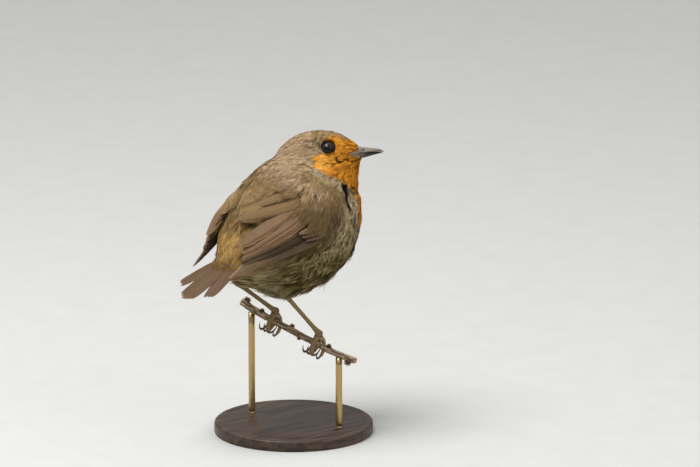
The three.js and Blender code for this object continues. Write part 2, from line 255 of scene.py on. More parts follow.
class Bank:
    """Gathers the points and faces of many small forms into one mesh."""

    def __init__(self):
        self.rows, self.count = [], 0

    def add(self, points, faces, *extra):
        self.rows.append((points, faces + self.count, *extra))
        self.count += len(points)

    def arrays(self):
        return [np.concatenate(column) for column in zip(*self.rows)]


def grid_faces(rows, columns, closed=False, rolled=False):
    """Quads between the rows of a grid. closed joins its last column to the first, rolled its last row."""
    i, j = np.meshgrid(np.arange(rows - (not rolled)), np.arange(columns - (not closed)), indexing="ij")
    i, j = i.ravel(), j.ravel()
    here, there, k = i * columns, (i + 1) % rows * columns, (j + 1) % columns
    return np.stack([here + j, here + k, there + k, there + j], 1)


def halved(quads):
    return np.concatenate([quads[:, [0, 1, 2]], quads[:, [0, 2, 3]]])


def curve(points, t):
    """A smooth curve through the points, at shares t of the way along."""
    p = np.asarray(points, float)
    if p.ndim == 1:
        p = p[:, None]
    p = np.concatenate([2 * p[:1] - p[1:2], p, 2 * p[-1:] - p[-2:-1]])
    t = np.clip(np.asarray(t, float), 0, 1) * (len(p) - 3)
    i = np.minimum(t.astype(int), len(p) - 4)
    f = (t - i)[:, None]
    a, b, c, d = (p[i + k] for k in range(4))
    return 0.5 * (2 * b + (c - a) * f + (2 * a - 5 * b + 4 * c - d) * f**2 + (3 * b - a - 3 * c + d) * f**3)


def round_turn(count):
    return np.linspace(0, 2 * np.pi, count, endpoint=False)


def ball(middle, radii, around=24, along=16):
    turn, tilt = (a.ravel() for a in np.meshgrid(round_turn(around), np.linspace(0, np.pi, along)))
    points = np.stack([np.sin(tilt) * np.cos(turn), np.sin(tilt) * np.sin(turn), np.cos(tilt)], 1)
    return points * radii + middle, halved(grid_faces(along, around, closed=True)[:, ::-1])


# ---- Materials ----


def feed(made, *ordered, **named):
    """Gives a node's inputs their values, by place or by name: a socket is linked, a number is set."""
    for key, value in [*enumerate(ordered), *named.items()]:
        entry = made.inputs[key.replace("_", " ") if isinstance(key, str) else key]
        if isinstance(value, bpy.types.NodeSocket):
            made.id_data.links.new(value, entry)
        else:
            entry.default_value = value


def node(tree, kind, *ordered, out=0, operation=None, attribute=None, **named):
    """A new node's output."""
    made = tree.nodes.new("ShaderNode" + kind)
    if operation:
        made.operation = operation
    if attribute:
        made.attribute_name = attribute
    feed(made, *ordered, **named)
    return made.outputs[out]


def ramp(tree, share, low, high, start=0.0, end=1.0):
    """A colour that goes from low to high as the share goes from start to end."""
    out = node(tree, "ValToRGB", share)
    for element, colour, place in zip(out.node.color_ramp.elements, (low, high), (start, end)):
        element.color = (*colour, 1)
        element.position = place
    return out


def grained(tree, stretch, detail, distortion=0.0):
    """Noise drawn out along the axes that are stretched least."""
    place = node(tree, "Mapping", node(tree, "TexCoord", out="Object"), Scale=stretch)
    return node(tree, "TexNoise", place, Scale=1.0, Detail=detail, Distortion=distortion)


def material(name, roughness, specular=0.5, metallic=0.0):
    made = bpy.data.materials.new(name)
    made.use_nodes = True
    shader = made.node_tree.nodes["Principled BSDF"]
    feed(shader, Roughness=roughness, Specular_IOR_Level=specular, Metallic=metallic)
    return made, made.node_tree, shader


def painted_nodes(tree, attribute, detail, scales, strength):
    """The painted colour, varied by noise of these scales, and the last noise."""
    place = node(tree, "TexCoord", out="Object")
    out = node(tree, "Attribute", attribute=attribute)
    for scale in scales:
        fac = node(tree, "TexNoise", place, Scale=scale, Detail=detail)
        shade = node(tree, "MapRange", fac, To_Min=1 - strength, To_Max=1 + strength)
        out = node(tree, "VectorMath", out, shade, operation="MULTIPLY")
    return out, fac


def dress(tree, shader, colour, height=None, dent=0.0):
    """Joins the colour to the shader, and the height as bumps that deep."""
    feed(shader, Base_Color=colour)
    if dent:
        feed(shader, Normal=node(tree, "Bump", Strength=1.0, Distance=dent, Height=height))


def painted_material(name, roughness, scales, strength, dent, attribute="tint", specular=0.5, detail=3.0):
    made, tree, shader = material(name, roughness, specular)
    dress(tree, shader, *painted_nodes(tree, attribute, detail, scales, strength), dent)
    return made


plumage = painted_material("plumage", 0.85, (700, 2600), 0.16, 0.00004, "plumage", specular=0.08)


def quill_material():
    """Plumage for the flight feathers: fine slanting barbs on each side of the shaft."""
    made, tree, shader = material("quills", 0.6, specular=0.07)
    vane = node(tree, "Attribute", attribute="vane", out="Vector")
    across, run, apart = node(tree, "SeparateXYZ", vane).node.outputs
    aside = node(tree, "Math", across, operation="ABSOLUTE")
    slant = node(tree, "Math", aside, -1.3, run, operation="MULTIPLY_ADD")
    stretch = node(tree, "Mapping", node(tree, "CombineXYZ", slant, across, apart), Scale=(5.0, 0.7, 3.7))
    barbs = node(tree, "TexNoise", stretch, Scale=1.0, Detail=3.0)
    shade = node(tree, "MapRange", barbs, To_Min=0.68, To_Max=1.32)
    colour, _ = painted_nodes(tree, "plumage", 2.0, (400,), 0.12)
    dress(tree, shader, node(tree, "VectorMath", colour, shade, operation="MULTIPLY"), barbs, 0.00008)
    return made


quill_look = quill_material()

# ---- Markings ----

CROWN, CROWN_DARK = vec(0.36, 0.245, 0.118), vec(0.11, 0.068, 0.030)
NAPE = vec(0.40, 0.275, 0.168)
MANTLE, BACK_OLIVE = vec(0.205, 0.129, 0.056), vec(0.285, 0.187, 0.085)
SHOULDER = vec(0.195, 0.127, 0.057)
RUMP = vec(0.42, 0.255, 0.085)
ORANGE_FACE, ORANGE_CHEEK = vec(0.66, 0.27, 0.022), vec(0.92, 0.42, 0.07)
ORANGE_DARK, ORANGE_BREAST = vec(0.30, 0.10, 0.014), vec(0.68, 0.25, 0.014)
THROAT_ORANGE = vec(0.84, 0.34, 0.03)
GREY_BAND, SIDE_PALE = vec(0.56, 0.43, 0.26), vec(0.62, 0.49, 0.29)
# Flank and belly: their own olive-buff colours, set darker as painted shade on the underside.
FLANK, FLANK_PALE = vec(0.105, 0.075, 0.024), vec(0.36, 0.29, 0.13)
BELLY, VENT = vec(0.38, 0.32, 0.18), vec(0.33, 0.26, 0.13)
# Near black: painted shade in the fold between shoulder and breast, in the band beside it and in the gaps
# between tufts; also the dark specks at the edge of the face.
SLIT_DARK = vec(0.014, 0.010, 0.006)

# The edge of the orange on the side of the head, and the crease of the cheek, as forward and up.
FACE_EDGE = [
    *((13.0, 39.3), (11.4, 38.8), (10.2, 37.4), (9.2, 35.6), (9.0, 32.4), (6.4, 31.3), (3.9, 30.3)),
    *((4.3, 27.9), (7.1, 25.8), (11.9, 22.9), (15.4, 21.4), (19.1, 19.2), (20.1, 17.6), (22.4, 15.4)),
    *((23.8, 12.8), (40.0, 0.0), (40.0, 41.0), (24.4, 41.0), (23.4, 36.9), (20.4, 36.8), (15.6, 38.2)),
]
CHEEK_CREASE = [
    *((15.4, 30.6), (15.9, 29.3), (17.0, 28.8), (18.4, 29.1)),
    *((19.8, 29.8), (20.9, 28.8), (22.6, 28.5), (24.6, 28.7)),
]
SLIT = [(16.5, -20.6, 17.6), (16.9, -21.4, 14.5), (16.4, -23.0, 11.0), (17.5, -23.4, 7.0), (16.5, -24.3, 3.0)]
SLIT_WAY = unit(vec(0.66, -0.75, 0.05))
SLIT_TOP = 18.6
# Small gaps between the tufts of the shoulder, sunk into the skin and darkened as painted shade: two ends and
# a half width, for the right side.
GAPS = [
    ((-7.6, -17.3, 17.6), (-6.8, -17.8, 16.2), 0.8),
    ((-4.8, -17.2, 19.0), (-5.3, -17.4, 18.2), 0.45),
    ((-3.8, -18.8, 17.4), (-3.4, -19.8, 15.2), 0.45),
    ((-0.8, -20.3, 16.9), (-0.6, -21.1, 14.2), 0.45),
    ((-1.8, -24.5, 7.9), (2.0, -24.6, 10.2), 0.35),
    ((-0.5, -25.6, 3.4), (2.6, -26.0, 3.6), 0.45),
    ((5.0, -26.2, 3.6), (4.6, -26.3, -0.6), 0.5),
    ((9.4, -25.0, 4.4), (9.0, -25.4, 1.4), 0.3),
    ((-12.6, -14.6, 17.5), (-10.4, -16.6, 16.4), 0.35),
    ((-30.6, -4.2, 3.2), (-26.0, -9.4, 2.4), 1.5),
    ((-24.0, -8.6, 14.6), (-17.0, -13.4, 15.2), 0.3),
]
# The edge of the orange on the breast, in degrees round the trunk at each height.
BREAST_HEIGHTS = [-13, -10, -5, 0, 4, 11, 15.5, 20, 24]
BREAST_TURNS = [-4, 18, 33, 39, 41.5, 41.5, 43, 46, 47]


def on_right(p):
    """These places, with those on the bird's left brought over to its right."""
    x, y, z = p.T
    return np.stack([x, -np.abs(y), z], 1)


def slit_distance(p):
    """Distance along the body from the fold between shoulder and breast, on either side of the bird."""
    nearest = []
    for a, b in zip(SLIT, SLIT[1:]):
        away = beside_line(on_right(p), a, b)[1]
        depth = np.clip(away @ SLIT_WAY, -4, 1.5)
        nearest.append(norm(away - depth[:, None] * SLIT_WAY))
    return np.min(nearest, axis=0) / mix(0.5, 1.4, smooth(8, 13, p[:, 2]))


def in_slit(p):
    return (slit_distance(p) < 1) & (p[:, 2] < SLIT_TOP)


def folds(p):
    """Soft lumps of the plumage, from about -1 to 1."""
    q = p * vec(0.75, 1, 0.6)
    return 1.3 * (noise(q, 4.6, 41) + 0.6 * noise(q, 2.3, 42) - 0.8)


def gaps(p):
    """How far these places are in a gap between tufts, from 0 to 1."""
    wander = 0.5 * (noise(p, 1.0, 46) - 0.5)[:, None]
    found = [bell(norm(beside_line(on_right(p), a, b)[1] + wander), half) for a, b, half in GAPS]
    return np.max(found, axis=0)


def creases(p):
    """How far these places are in the crease that runs from the gape over the cheek, from 0 to 1."""
    f, s, up = to_head(p).T
    wiggle = 1.1 * (noise(p, 0.8, 45) - 0.5)
    width = mix(0.95, 0.45, smooth(18, 22, f)) * mix(0.35, 1.5, noise(p, 1.1, 47))
    cheek = smooth(1.0, 0.3, line_distance(np.stack([f, up + wiggle], 1), CHEEK_CREASE) / width)
    return cheek * smooth(2, 3.5, np.abs(s))


def body_markings(p, breast_edge, ragged, fine, hair):
    x, y, z = p.T
    f = to_head(p)[:, 0]
    aside = np.abs(y)
    collar = smooth(-8.5, -1, above_neck(p) + ragged / 1.5) * smooth(14, 6, f)
    # The shoulder lighter towards its top and darker below: painted light and shade from above.
    shoulder = SHOULDER * mix(0.8, 1.22, smooth(5, 15, z + ragged))[:, None]
    front = smooth(8, 20, x + 0.25 * (z - 5) + ragged)
    under = np.maximum(smooth(1, -5, z - 0.39 * (x - 17) - 4 + ragged), front)
    streaks = noise(p * vec(0.45, 1.1, 1.0), 0.75, 3) + 0.35 * noise(p, 3.2, 15)
    belly = layered(
        FLANK,
        (FLANK_PALE, smooth(0.72, 0.95, streaks)),
        (BELLY, smooth(16, 6, aside + ragged * 4 / 3) * smooth(-10, -24, z)),
        (VENT, smooth(-14, -28, x)),
    )
    strands = layered(FLANK * 1.3, (SIDE_PALE, smooth(0.35, 0.65, hair + 0.5 + 0.5 * fine)))
    tangle = smooth(2, 9, x + ragged) * smooth(-15, -7, z) * smooth(5, 0, z) * smooth(6, 12, aside)
    pale_lock = bell(x + 2.6, 1.4) * smooth(8, 11, z) * smooth(17, 15, z) * smooth(16, 19, aside)
    specks = smooth(0.42, 0.6, noise(p * vec(0.8, 0.8, 2.0), 1.0, 16))
    # A dark band with pale specks along the edge of the breast: painted shade in the fold there.
    speckled_fold_shade = smooth(-15, -11, breast_edge) * smooth(17, 14, z) * smooth(-8, 0, z)
    return layered(
        MANTLE,
        (BACK_OLIVE, smooth(-8, -24, x + ragged) * smooth(4, 12, z)),
        (RUMP, smooth(-26, -37, x + 0.4 * z + ragged * 4 / 3) * smooth(13, 10, aside + ragged / 1.5)),
        (shoulder, smooth(12, 20, aside) * smooth(-26, -10, x)),
        (NAPE, 0.75 * collar),
        (belly, under),
        (GREY_BAND * 1.3, front * smooth(-14, 2, z) * smooth(15, 8, z) * smooth(6, 12, aside) * 0.85),
        (strands, 0.85 * tangle),
        (SIDE_PALE * 0.75, pale_lock * smooth(-0.1, 0.25, hair) * 0.5),
        (layered(SLIT_DARK * 2, (SIDE_PALE, specks)), speckled_fold_shade * 0.8),
    )


def head_markings(p, breast, wobble, fine):
    f, _, up = to_head(p).T
    streaks = noise(p * vec(0.6, 1.6, 1.2), 0.8, 5)
    behind_eye = bell(f - 6.0, 4.0) * bell(up - 36.3 - 0.25 * (f - 6.0), 2.1)
    strokes = np.sin(3.1 * (f - 0.75 * (up - 36)) + 4 * wobble) + fine
    face = inside_outline(f, up + 0.4 * wobble, FACE_EDGE)
    cheek = bell(f - 9.5, 4.8) * bell(up - 28.3, 4.2)
    lores = bell(f - 18.5, 3.4) * bell(up - 33.8, 2.2)
    orange = layered(
        ORANGE_FACE,
        (THROAT_ORANGE, smooth(29, 25, up)),
        (ORANGE_CHEEK, np.clip(cheek * 1.15 + 0.5 * wobble * cheek, 0, 1)),
        (ORANGE_DARK, 0.6 * smooth(0.52, 0.75, noise(p, 0.9, 8)) * (1 - 0.7 * cheek)),
        (ORANGE_DARK, lores * 0.45 * smooth(0.3, 0.6, noise(p * vec(0.7, 0.7, 1.6), 1.3, 17))),
    )
    orange = orange * (1 + 0.45 * (noise(p, 1.7, 18) - 0.5))[:, None]
    on_face = smooth(-0.6, 0.6, face + 1.4 * fine + 0.9 * wobble)
    grey_rim = smooth(-4.5, -1.5, face) * (1 - on_face) * smooth(38, 33, up)
    near_edge = smooth(-1.6, -0.3, face) * smooth(1.6, 0.5, face)
    rim_specks = near_edge * smooth(0.5, 0.62, noise(p, 1.0, 10)) * smooth(25.5, 23.0, up + 0.1 * f)
    return layered(
        CROWN,
        (CROWN_DARK, smooth(0.5, 0.75, streaks) * 0.6),
        (NAPE, smooth(5, -3, f - 0.3 * (up - 30)) * 0.75),
        (CROWN_DARK * 0.22, np.clip(behind_eye * smooth(-0.1, 0.6, strokes) * 1.15, 0, 1)),
        (SIDE_PALE, behind_eye * smooth(-0.3, -0.8, strokes) * 0.4),
        (GREY_BAND * 0.8, grey_rim * 0.6),
        (orange, np.maximum(on_face, breast * smooth(21, 17, p[:, 2]))),
        (SLIT_DARK * 2, rim_specks * smooth(6, 10, f) * 0.85),
        # Painted shade in the crease over the cheek.
        (ORANGE_DARK * 0.2, creases(p)),
    )


def markings(p):
    """The plumage's colour at these places, with painted shade in its folds, creases and gaps, and painted
    light on the lumps of the body.
    """
    x, y, z = p.T
    wobble = noise(p, 3.0, 1) - 0.5
    fine = noise(p, 1.2, 2) - 0.5
    hair = noise(p * vec(1.3, 1.3, 0.45), 0.55, 14) - 0.5
    head = smooth(-4, 3, above_neck(p) + 2 * wobble)
    edge = np.interp(z, BREAST_HEIGHTS, BREAST_TURNS) - np.degrees(np.arctan2(np.abs(y), x + 2))
    edge = edge + 3 * wobble + 2 * fine
    breast = smooth(-1.6, 1.6, edge)
    colour = layered(
        body_markings(p, edge, 3 * wobble, fine, hair),
        (ORANGE_BREAST, breast),
        (head_markings(p, breast, wobble, fine), head),
        # Painted shade: near black in the fold between shoulder and breast and in the gaps between tufts.
        (SLIT_DARK, smooth(1.7, 0.8, slit_distance(p)) * smooth(SLIT_TOP + 1, SLIT_TOP - 0.2, z)),
        (SLIT_DARK * 1.6, np.clip(gaps(p) * 1.2, 0, 1)),
    )
    # On the body only: painted shade in the hollows of the folds and painted light on their lumps, with
    # streaks of the hair.
    fold_shade_and_streaks = (1 - head) * (0.2 * folds(p) + 0.35 * hair)
    return colour * (1 + 0.2 * wobble + 0.12 * fine + fold_shade_and_streaks)[:, None]


# ---- Skin ----

FLESH = ["head", "neck", "trunk", "thigh_left", "thigh_right", "wing_left_shoulder", "wing_right_shoulder"]
GAP_FILL = 0.35
VOXEL = 0.6
BODY_FULLER = 0.35  # makes up for what smoothing takes off the body
# Where the body is fuller or slimmer than the CAD's flesh: a place, its reach and how much, on either side.
SWELLS = [((19, -17, -12), 10, 1.5), ((4, -8, -29), 9, -1.1)]
THROAT = vec(27, -15, 19)


def flesh():
    """The CAD's flesh in one mesh, a little fuller, so that it closes over the gaps between its pieces."""
    bank = Bank()
    for name in FLESH:
        points, faces = node_mesh(name)
        bank.add(points + GAP_FILL * normals_of(points, faces), faces)
    for place, way in eye_places():
        bank.add(*ball(place - 0.9 * way, EYE_RADIUS * 0.8))
    for middle, radii in ((vec(21.5, 0, 31.3), vec(5.4, 3.4, 2.9)), (vec(23.4, 0, 28.3), vec(4.0, 2.7, 2.3))):
        points, faces = ball(middle, radii)
        bank.add(from_head(points), faces)
    return bank.arrays()


def coat_depth(p):
    """How far the skin lies under the tips of the coat."""
    f = to_head(p)[:, 0]
    head = smooth(-3, 5, above_neck(p))
    depth = mix(mix(1.5, 1.1, head), 0.75, head * smooth(4, 14, f))
    return mix(depth, 0.6, smooth(24, 27, f) * head)


def relaxed(points, edges, amount, times=1):
    """Moves each point towards the middle of its neighbours, or away from it."""
    a, b = edges.T
    count = np.bincount(edges.ravel(), minlength=len(points))[:, None]
    for _ in range(times):
        ends = ((a, points[b]), (b, points[a]))
        total = [sum(np.bincount(i, p[:, k], len(points)) for i, p in ends) for k in range(3)]
        points = points + amount * (np.stack(total, 1) / np.maximum(count, 1) - points)
    return points


def smoothed(points, edges, times, share=1.0):
    """Smoothed without shrinking: each pass inwards is followed by a slightly stronger one outwards."""
    for _ in range(times):
        points = relaxed(relaxed(points, edges, 0.5 * share), edges, -0.53 * share)
    return points


def remeshed(made):
    """A closed mesh of small even faces round an object, which is removed."""
    remesh = made.modifiers.new("Remesh", "REMESH")
    remesh.mode = "VOXEL"
    remesh.voxel_size = VOXEL * MM
    mesh = bpy.data.meshes.new_from_object(made.evaluated_get(bpy.context.evaluated_depsgraph_get()))
    bpy.data.objects.remove(made)
    return points_of(mesh), triangles_of(mesh), read(mesh.edges, "vertices", 2)


def unwrap(made):
    bpy.context.view_layer.objects.active = made
    made.select_set(True)
    bpy.ops.object.mode_set(mode="EDIT")
    bpy.ops.mesh.select_all(action="SELECT")
    made.data.uv_layers.new(name="OFBake")
    bpy.ops.uv.smart_project(angle_limit=math.radians(66), island_margin=0.004)
    bpy.ops.object.mode_set(mode="OBJECT")
    made.select_set(False)


def make_skin():
    points, faces, edges = remeshed(new_object("rough", *flesh()))
    body = smooth(8, -2, above_neck(points))[:, None]
    points = smoothed(points, edges, 12)
    points = relaxed(points, edges, 0.5 * body, 22)
    points = smoothed(points, edges, 30, 0.2 + 0.8 * body)
    normals = normals_of(points, faces)
    x, _, z = points.T
    body = body[:, 0]
    lift = (BODY_FULLER + 0.95 * folds(points)) * body - 1.3 * gaps(points)
    lift += 0.4 * (noise(points, 1.7, 43) - 0.5) * (1 - body) - 0.7 * creases(points)
    lift += 1.1 * bell(norm(points - THROAT), 6)
    for place, reach, amount in SWELLS:
        for side in SIDES.values():
            lift += amount * bell(norm(points * vec(1, side, 1) - vec(*place)), reach)
    lift -= 3.0 * smooth(-8, -20, x) * smooth(-19, -27, z)
    lift -= coat_depth(points) + GAP_FILL + 1.5 * bell(slit_distance(points), 1.3) * smooth(19, 16, z)
    points = relaxed(points + normals * lift[:, None], edges, 0.5, 2)
    # The skin takes the plumage's colours, darkened as painted shade under the coat.
    skin = add_piece("skin", points, faces, plumage, "plumage_brown", plumage=markings(points) * 0.55)
    unwrap(skin)
    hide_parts(*FLESH)
    return points, faces, read(skin.data.uv_layers["OFBake"].data, "uv", 2, np.float32).reshape(-1, 3, 2)


skin_points, skin_faces, skin_uv = make_skin()
skin_normals = normals_of(skin_points, skin_faces)
skin_tree = BVHTree.FromPolygons(skin_points.tolist(), skin_faces.tolist())


def nearest(points):
    """The skin's nearest places to these, and its normals there."""
    found = [skin_tree.find_nearest(p) for p in points.tolist()]
    corners = skin_faces[[face for _, _, face, _ in found]]
    return np.array([place for place, *_ in found]), unit(skin_normals[corners].sum(1))


# ---- Flight feathers ----

HALF_COLUMNS = [0.05, 0.12, 0.22, 0.33, 0.44, 0.55, 0.66, 0.77, 0.87, 0.95, 1]
VANE_COLUMNS = np.array([-u for u in HALF_COLUMNS[::-1]] + [0] + HALF_COLUMNS)
VANE_ROWS = 46


def evenly(points, count):
    """A smooth line through the points, in steps that shorten towards its end."""
    fine = curve(points, np.linspace(0, 1, 160))
    run = np.concatenate([[0], np.cumsum(norm(np.diff(fine, axis=0)))])
    share = 1 - (1 - np.linspace(0, 1, count)) ** 1.35
    return np.stack([np.interp(share * run[-1], run, fine[:, k]) for k in range(3)], 1), share, run[-1]


def quill(path, outward, half, outer=0.5, point=6.0, camber=0.16, ragged=0.02, splits=2, seed=0):
    """One feather: a thin closed vane, arched across, with a ridged shaft and small splits in its edges.

    outer is the share of its width on its lower side, and a higher point makes a blunter tip.
    Returns points, triangles, and for each point its share across, its share along, whether it is on the
    underside, and its millimetres on the vane.
    """
    dice = np.random.default_rng(seed)
    line, t, length = evenly(path, VANE_ROWS)
    way = unit(np.gradient(line, axis=0))
    side = unit(np.cross(outward, way))
    face = np.cross(way, side)
    width = half * np.clip(0.30 + 1.9 * t, 0, 1)
    width = width * np.sqrt(np.maximum(1 - t**point, 0) * np.clip(t / 0.03, 0, 1))
    lower = -side if side[:, 2].mean() > 0 else side
    u = VANE_COLUMNS
    split = 1 - ragged * smooth(0.93, 0.82, t)[:, None] * np.abs(dice.normal(0, 1, (VANE_ROWS, 2)))
    for _ in range(splits):
        split[dice.integers(int(VANE_ROWS * 0.35), int(VANE_ROWS * 0.8)), dice.integers(0, 2)] -= 0.10
    reach = u * np.where(u > 0, outer, 1 - outer) * 2 * width[:, None]
    reach = reach * np.where(u > 0, split[:, 1:], split[:, :1])
    narrow = np.minimum(width / half, 1)[:, None]
    arch = -camber * half * (0.5 * u**2 + 0.5 * np.abs(u) ** 5) * narrow
    arch = arch + 0.04 * np.sin(7 * t[:, None] + 3 * np.abs(u) + dice.random() * 6) * np.abs(u)
    ridge = 0.13 * bell(u, 0.05) * (1 - 0.8 * t)[:, None]
    body = 0.08 * (1 - u**4) * narrow
    middle = line[:, None] + lower[:, None] * reach[..., None]
    top = middle + face[:, None] * (arch + ridge + body)[..., None]
    under = middle + face[:, None] * (arch - body)[..., None]
    ring = np.concatenate([top, under[:, -2:0:-1]], 1)
    columns = ring.shape[1]
    quads = grid_faces(VANE_ROWS, columns, closed=True)
    points, triangles = ring.reshape(-1, 3), halved(quads)
    facing = np.cross(points[quads[:, 1]] - points[quads[:, 0]], points[quads[:, 2]] - points[quads[:, 0]])
    upper = (quads % columns).max(1) < len(u)
    if (facing[upper] @ face.mean(0)).mean() < 0:
        triangles = triangles[:, ::-1]
    under_side = np.tile(np.arange(columns) >= len(u), VANE_ROWS)
    across, along = np.tile(np.concatenate([u, u[-2:0:-1]]), VANE_ROWS), np.repeat(t, columns)
    vane = np.stack([across * half, along * length, np.full(len(points), seed % 97)], 1)
    return points, triangles, across, along, under_side, vane


VANE_BROWN, VANE_GREY = vec(0.165, 0.100, 0.055), vec(0.150, 0.098, 0.057)
VANE_SHADE, VANE_DARK = vec(0.105, 0.066, 0.041), vec(0.055, 0.033, 0.018)
RUSTY_EDGE, PALE_EDGE = vec(0.40, 0.235, 0.115), vec(0.36, 0.26, 0.155)
SHAFT_DARK = vec(0.05, 0.03, 0.017)


def vane_colours(
    u, t, under_side, base, edge, edge_width=0.2, tip_pale=0.3, inner=0.3, shaft=0.8, tip_light=1.0
):
    """Colours of a vane: its lower edge in a colour of its own, its inner web darker, its shaft dark, and
    painted light brightening it towards the tip.
    """
    colour = layered(
        base,
        (VANE_SHADE, inner * smooth(0.1, -0.5, u)),
        (VANE_DARK, 0.3 * smooth(0.45, 0.1, t)),
        (VANE_SHADE * 0.8, 0.6 * bell(u - 1 + 1.9 * edge_width, 0.1) * smooth(0.05, 0.3, t)),
        (edge, smooth(1 - edge_width * 1.3, 1 - edge_width * 0.6, u) * smooth(0.02, 0.2, t)),
        (PALE_EDGE, tip_pale * np.maximum(smooth(0.95, 1, t), smooth(0.93, 1.0, np.abs(u)) * 0.5)),
        (SHAFT_DARK, bell(u, 0.05) * shaft),
    )
    # Painted light towards the tip.
    return colour * (mix(1.0, tip_light, smooth(0.6, 0.95, t)) * np.where(under_side, 0.8, 1))[:, None]


quill_pieces = []
quill_surface = Bank()


def quill_piece(name, bank, slot, *replaced):
    points, faces, colours, vane, under_side = bank.arrays()
    piece = add_piece(name, points, faces, quill_look, slot, *replaced)
    attribute = piece.data.attributes.new("vane", "FLOAT_VECTOR", "POINT")
    attribute.data.foreach_set("vector", vane.astype(np.float32).ravel())
    quill_pieces.append((piece, points, normals_of(points, faces), colours, ~under_side))
    quill_surface.add(points, faces)


def mirrored(p, side):
    """A place given for the right wing, for this side's."""
    return np.asarray(p, float) * vec(1, -side, 1)


# The right wing's feathers: where the shaft comes out of the coat, its middle and its tip, and half its width.
TERTIALS = [
    ((-11.7, -20.4, 11.9), (-25.1, -17.6, 4.6), (-36.6, -11.6, -3.6), 3.6),
    ((-8.4, -22.9, 10.3), (-23.2, -20.0, 2.6), (-35.9, -13.2, -6.6), 3.4),
    ((-5.6, -24.2, 8.9), (-21.5, -21.2, 0.9), (-36.3, -14.2, -8.4), 3.1),
]
# The first and the last feather of longer rows.
SECONDARIES = [
    ((-4.6, -24.6, 7.6), (-21.0, -21.5, -0.3), (-36.9, -14.4, -9.3), 2.8),
    ((-2.9, -25.6, 4.6), (-19.4, -22.6, -3.2), (-37.2, -14.6, -11.3), 2.6),
]
PRIMARIES = [
    ((-2.6, -26.3, 3.2), (-19.2, -23.3, -4.2), (-37.8, -14.6, -12.1), 2.7),
    ((2.6, -26.8, -1.8), (-17.2, -24.4, -6.3), (-43.9, -13.8, -16.5), 2.1),
]
COVERTS = [
    ((-1.6, -26.7, 4.0), (-7.0, -26.2, 2.8), (-13.4, -25.0, 1.2), 1.9),
    ((2.0, -27.2, 0.8), (-3.8, -27.2, -0.4), (-10.4, -26.3, -2.2), 1.6),
]
SCAPULAR_VANES = [
    ((-13.5, -14.9, 17.2), (-22.2, -10.2, 13.6), (-28.3, -3.5, 9.8), 3.3),
    ((-8.2, -20.9, 14.0), (-21.5, -15.0, 10.6), (-32.4, -5.6, 6.6), 4.1),
]
SCAPULAR_OUTWARDS = [vec(-0.62, -0.42, 0.66), vec(-0.58, -0.54, 0.60)]
UPPER_OUTWARD, LOWER_OUTWARD = vec(-0.46, -0.66, 0.6), vec(-0.28, -0.88, 0.38)
FLATTER = vec(-0.35, 0.60, 0.6)  # the far wing shows its upper side past the rump
BURIED = 6.5


def row(ends, count):
    """Feathers spaced evenly from the first to the last of a row."""
    shares = np.linspace(0, 1, count)
    return [[mix(np.asarray(a, float), np.asarray(b, float), s) for a, b in zip(*ends)] for s in shares]


def leaning(first, last, count):
    """The ways that a row of feathers faces, as shares from the wing's upper to its lower side."""
    return [mix(UPPER_OUTWARD, LOWER_OUTWARD, share) for share in np.linspace(first, last, count)]


def buried_path(root, middle, tip, way, lift):
    """The shaft from under the coat to the tip."""
    start, normal = nearest((root + unit(root - middle) * BURIED)[None])
    places = [start[0] + 0.1 * normal[0], root + 0.5 * lift * way, middle + lift * way, tip + lift * way]
    return [places[0], mix(places[0], places[1], 0.55) - 0.25 * way, *places[1:]]


def add_quill(bank, side, spec, outward, lift, seed, base, edge, shape, looks):
    *places, half = spec
    if side == LEFT:
        outward = unit(outward) + FLATTER
        shape = {**shape, "outer": 0.55 * shape.get("outer", 0.5)}
    way = mirrored(unit(outward), side)
    path = buried_path(*(mirrored(q, side) for q in places), way, lift)
    points, faces, u, t, under_side, vane = quill(path, way, float(half), seed=seed, **shape)
    tone = 1 + 0.07 * np.sin(seed * 12.9)
    bank.add(points, faces, vane_colours(u, t, under_side, base * tone, edge, **looks), vane, under_side)


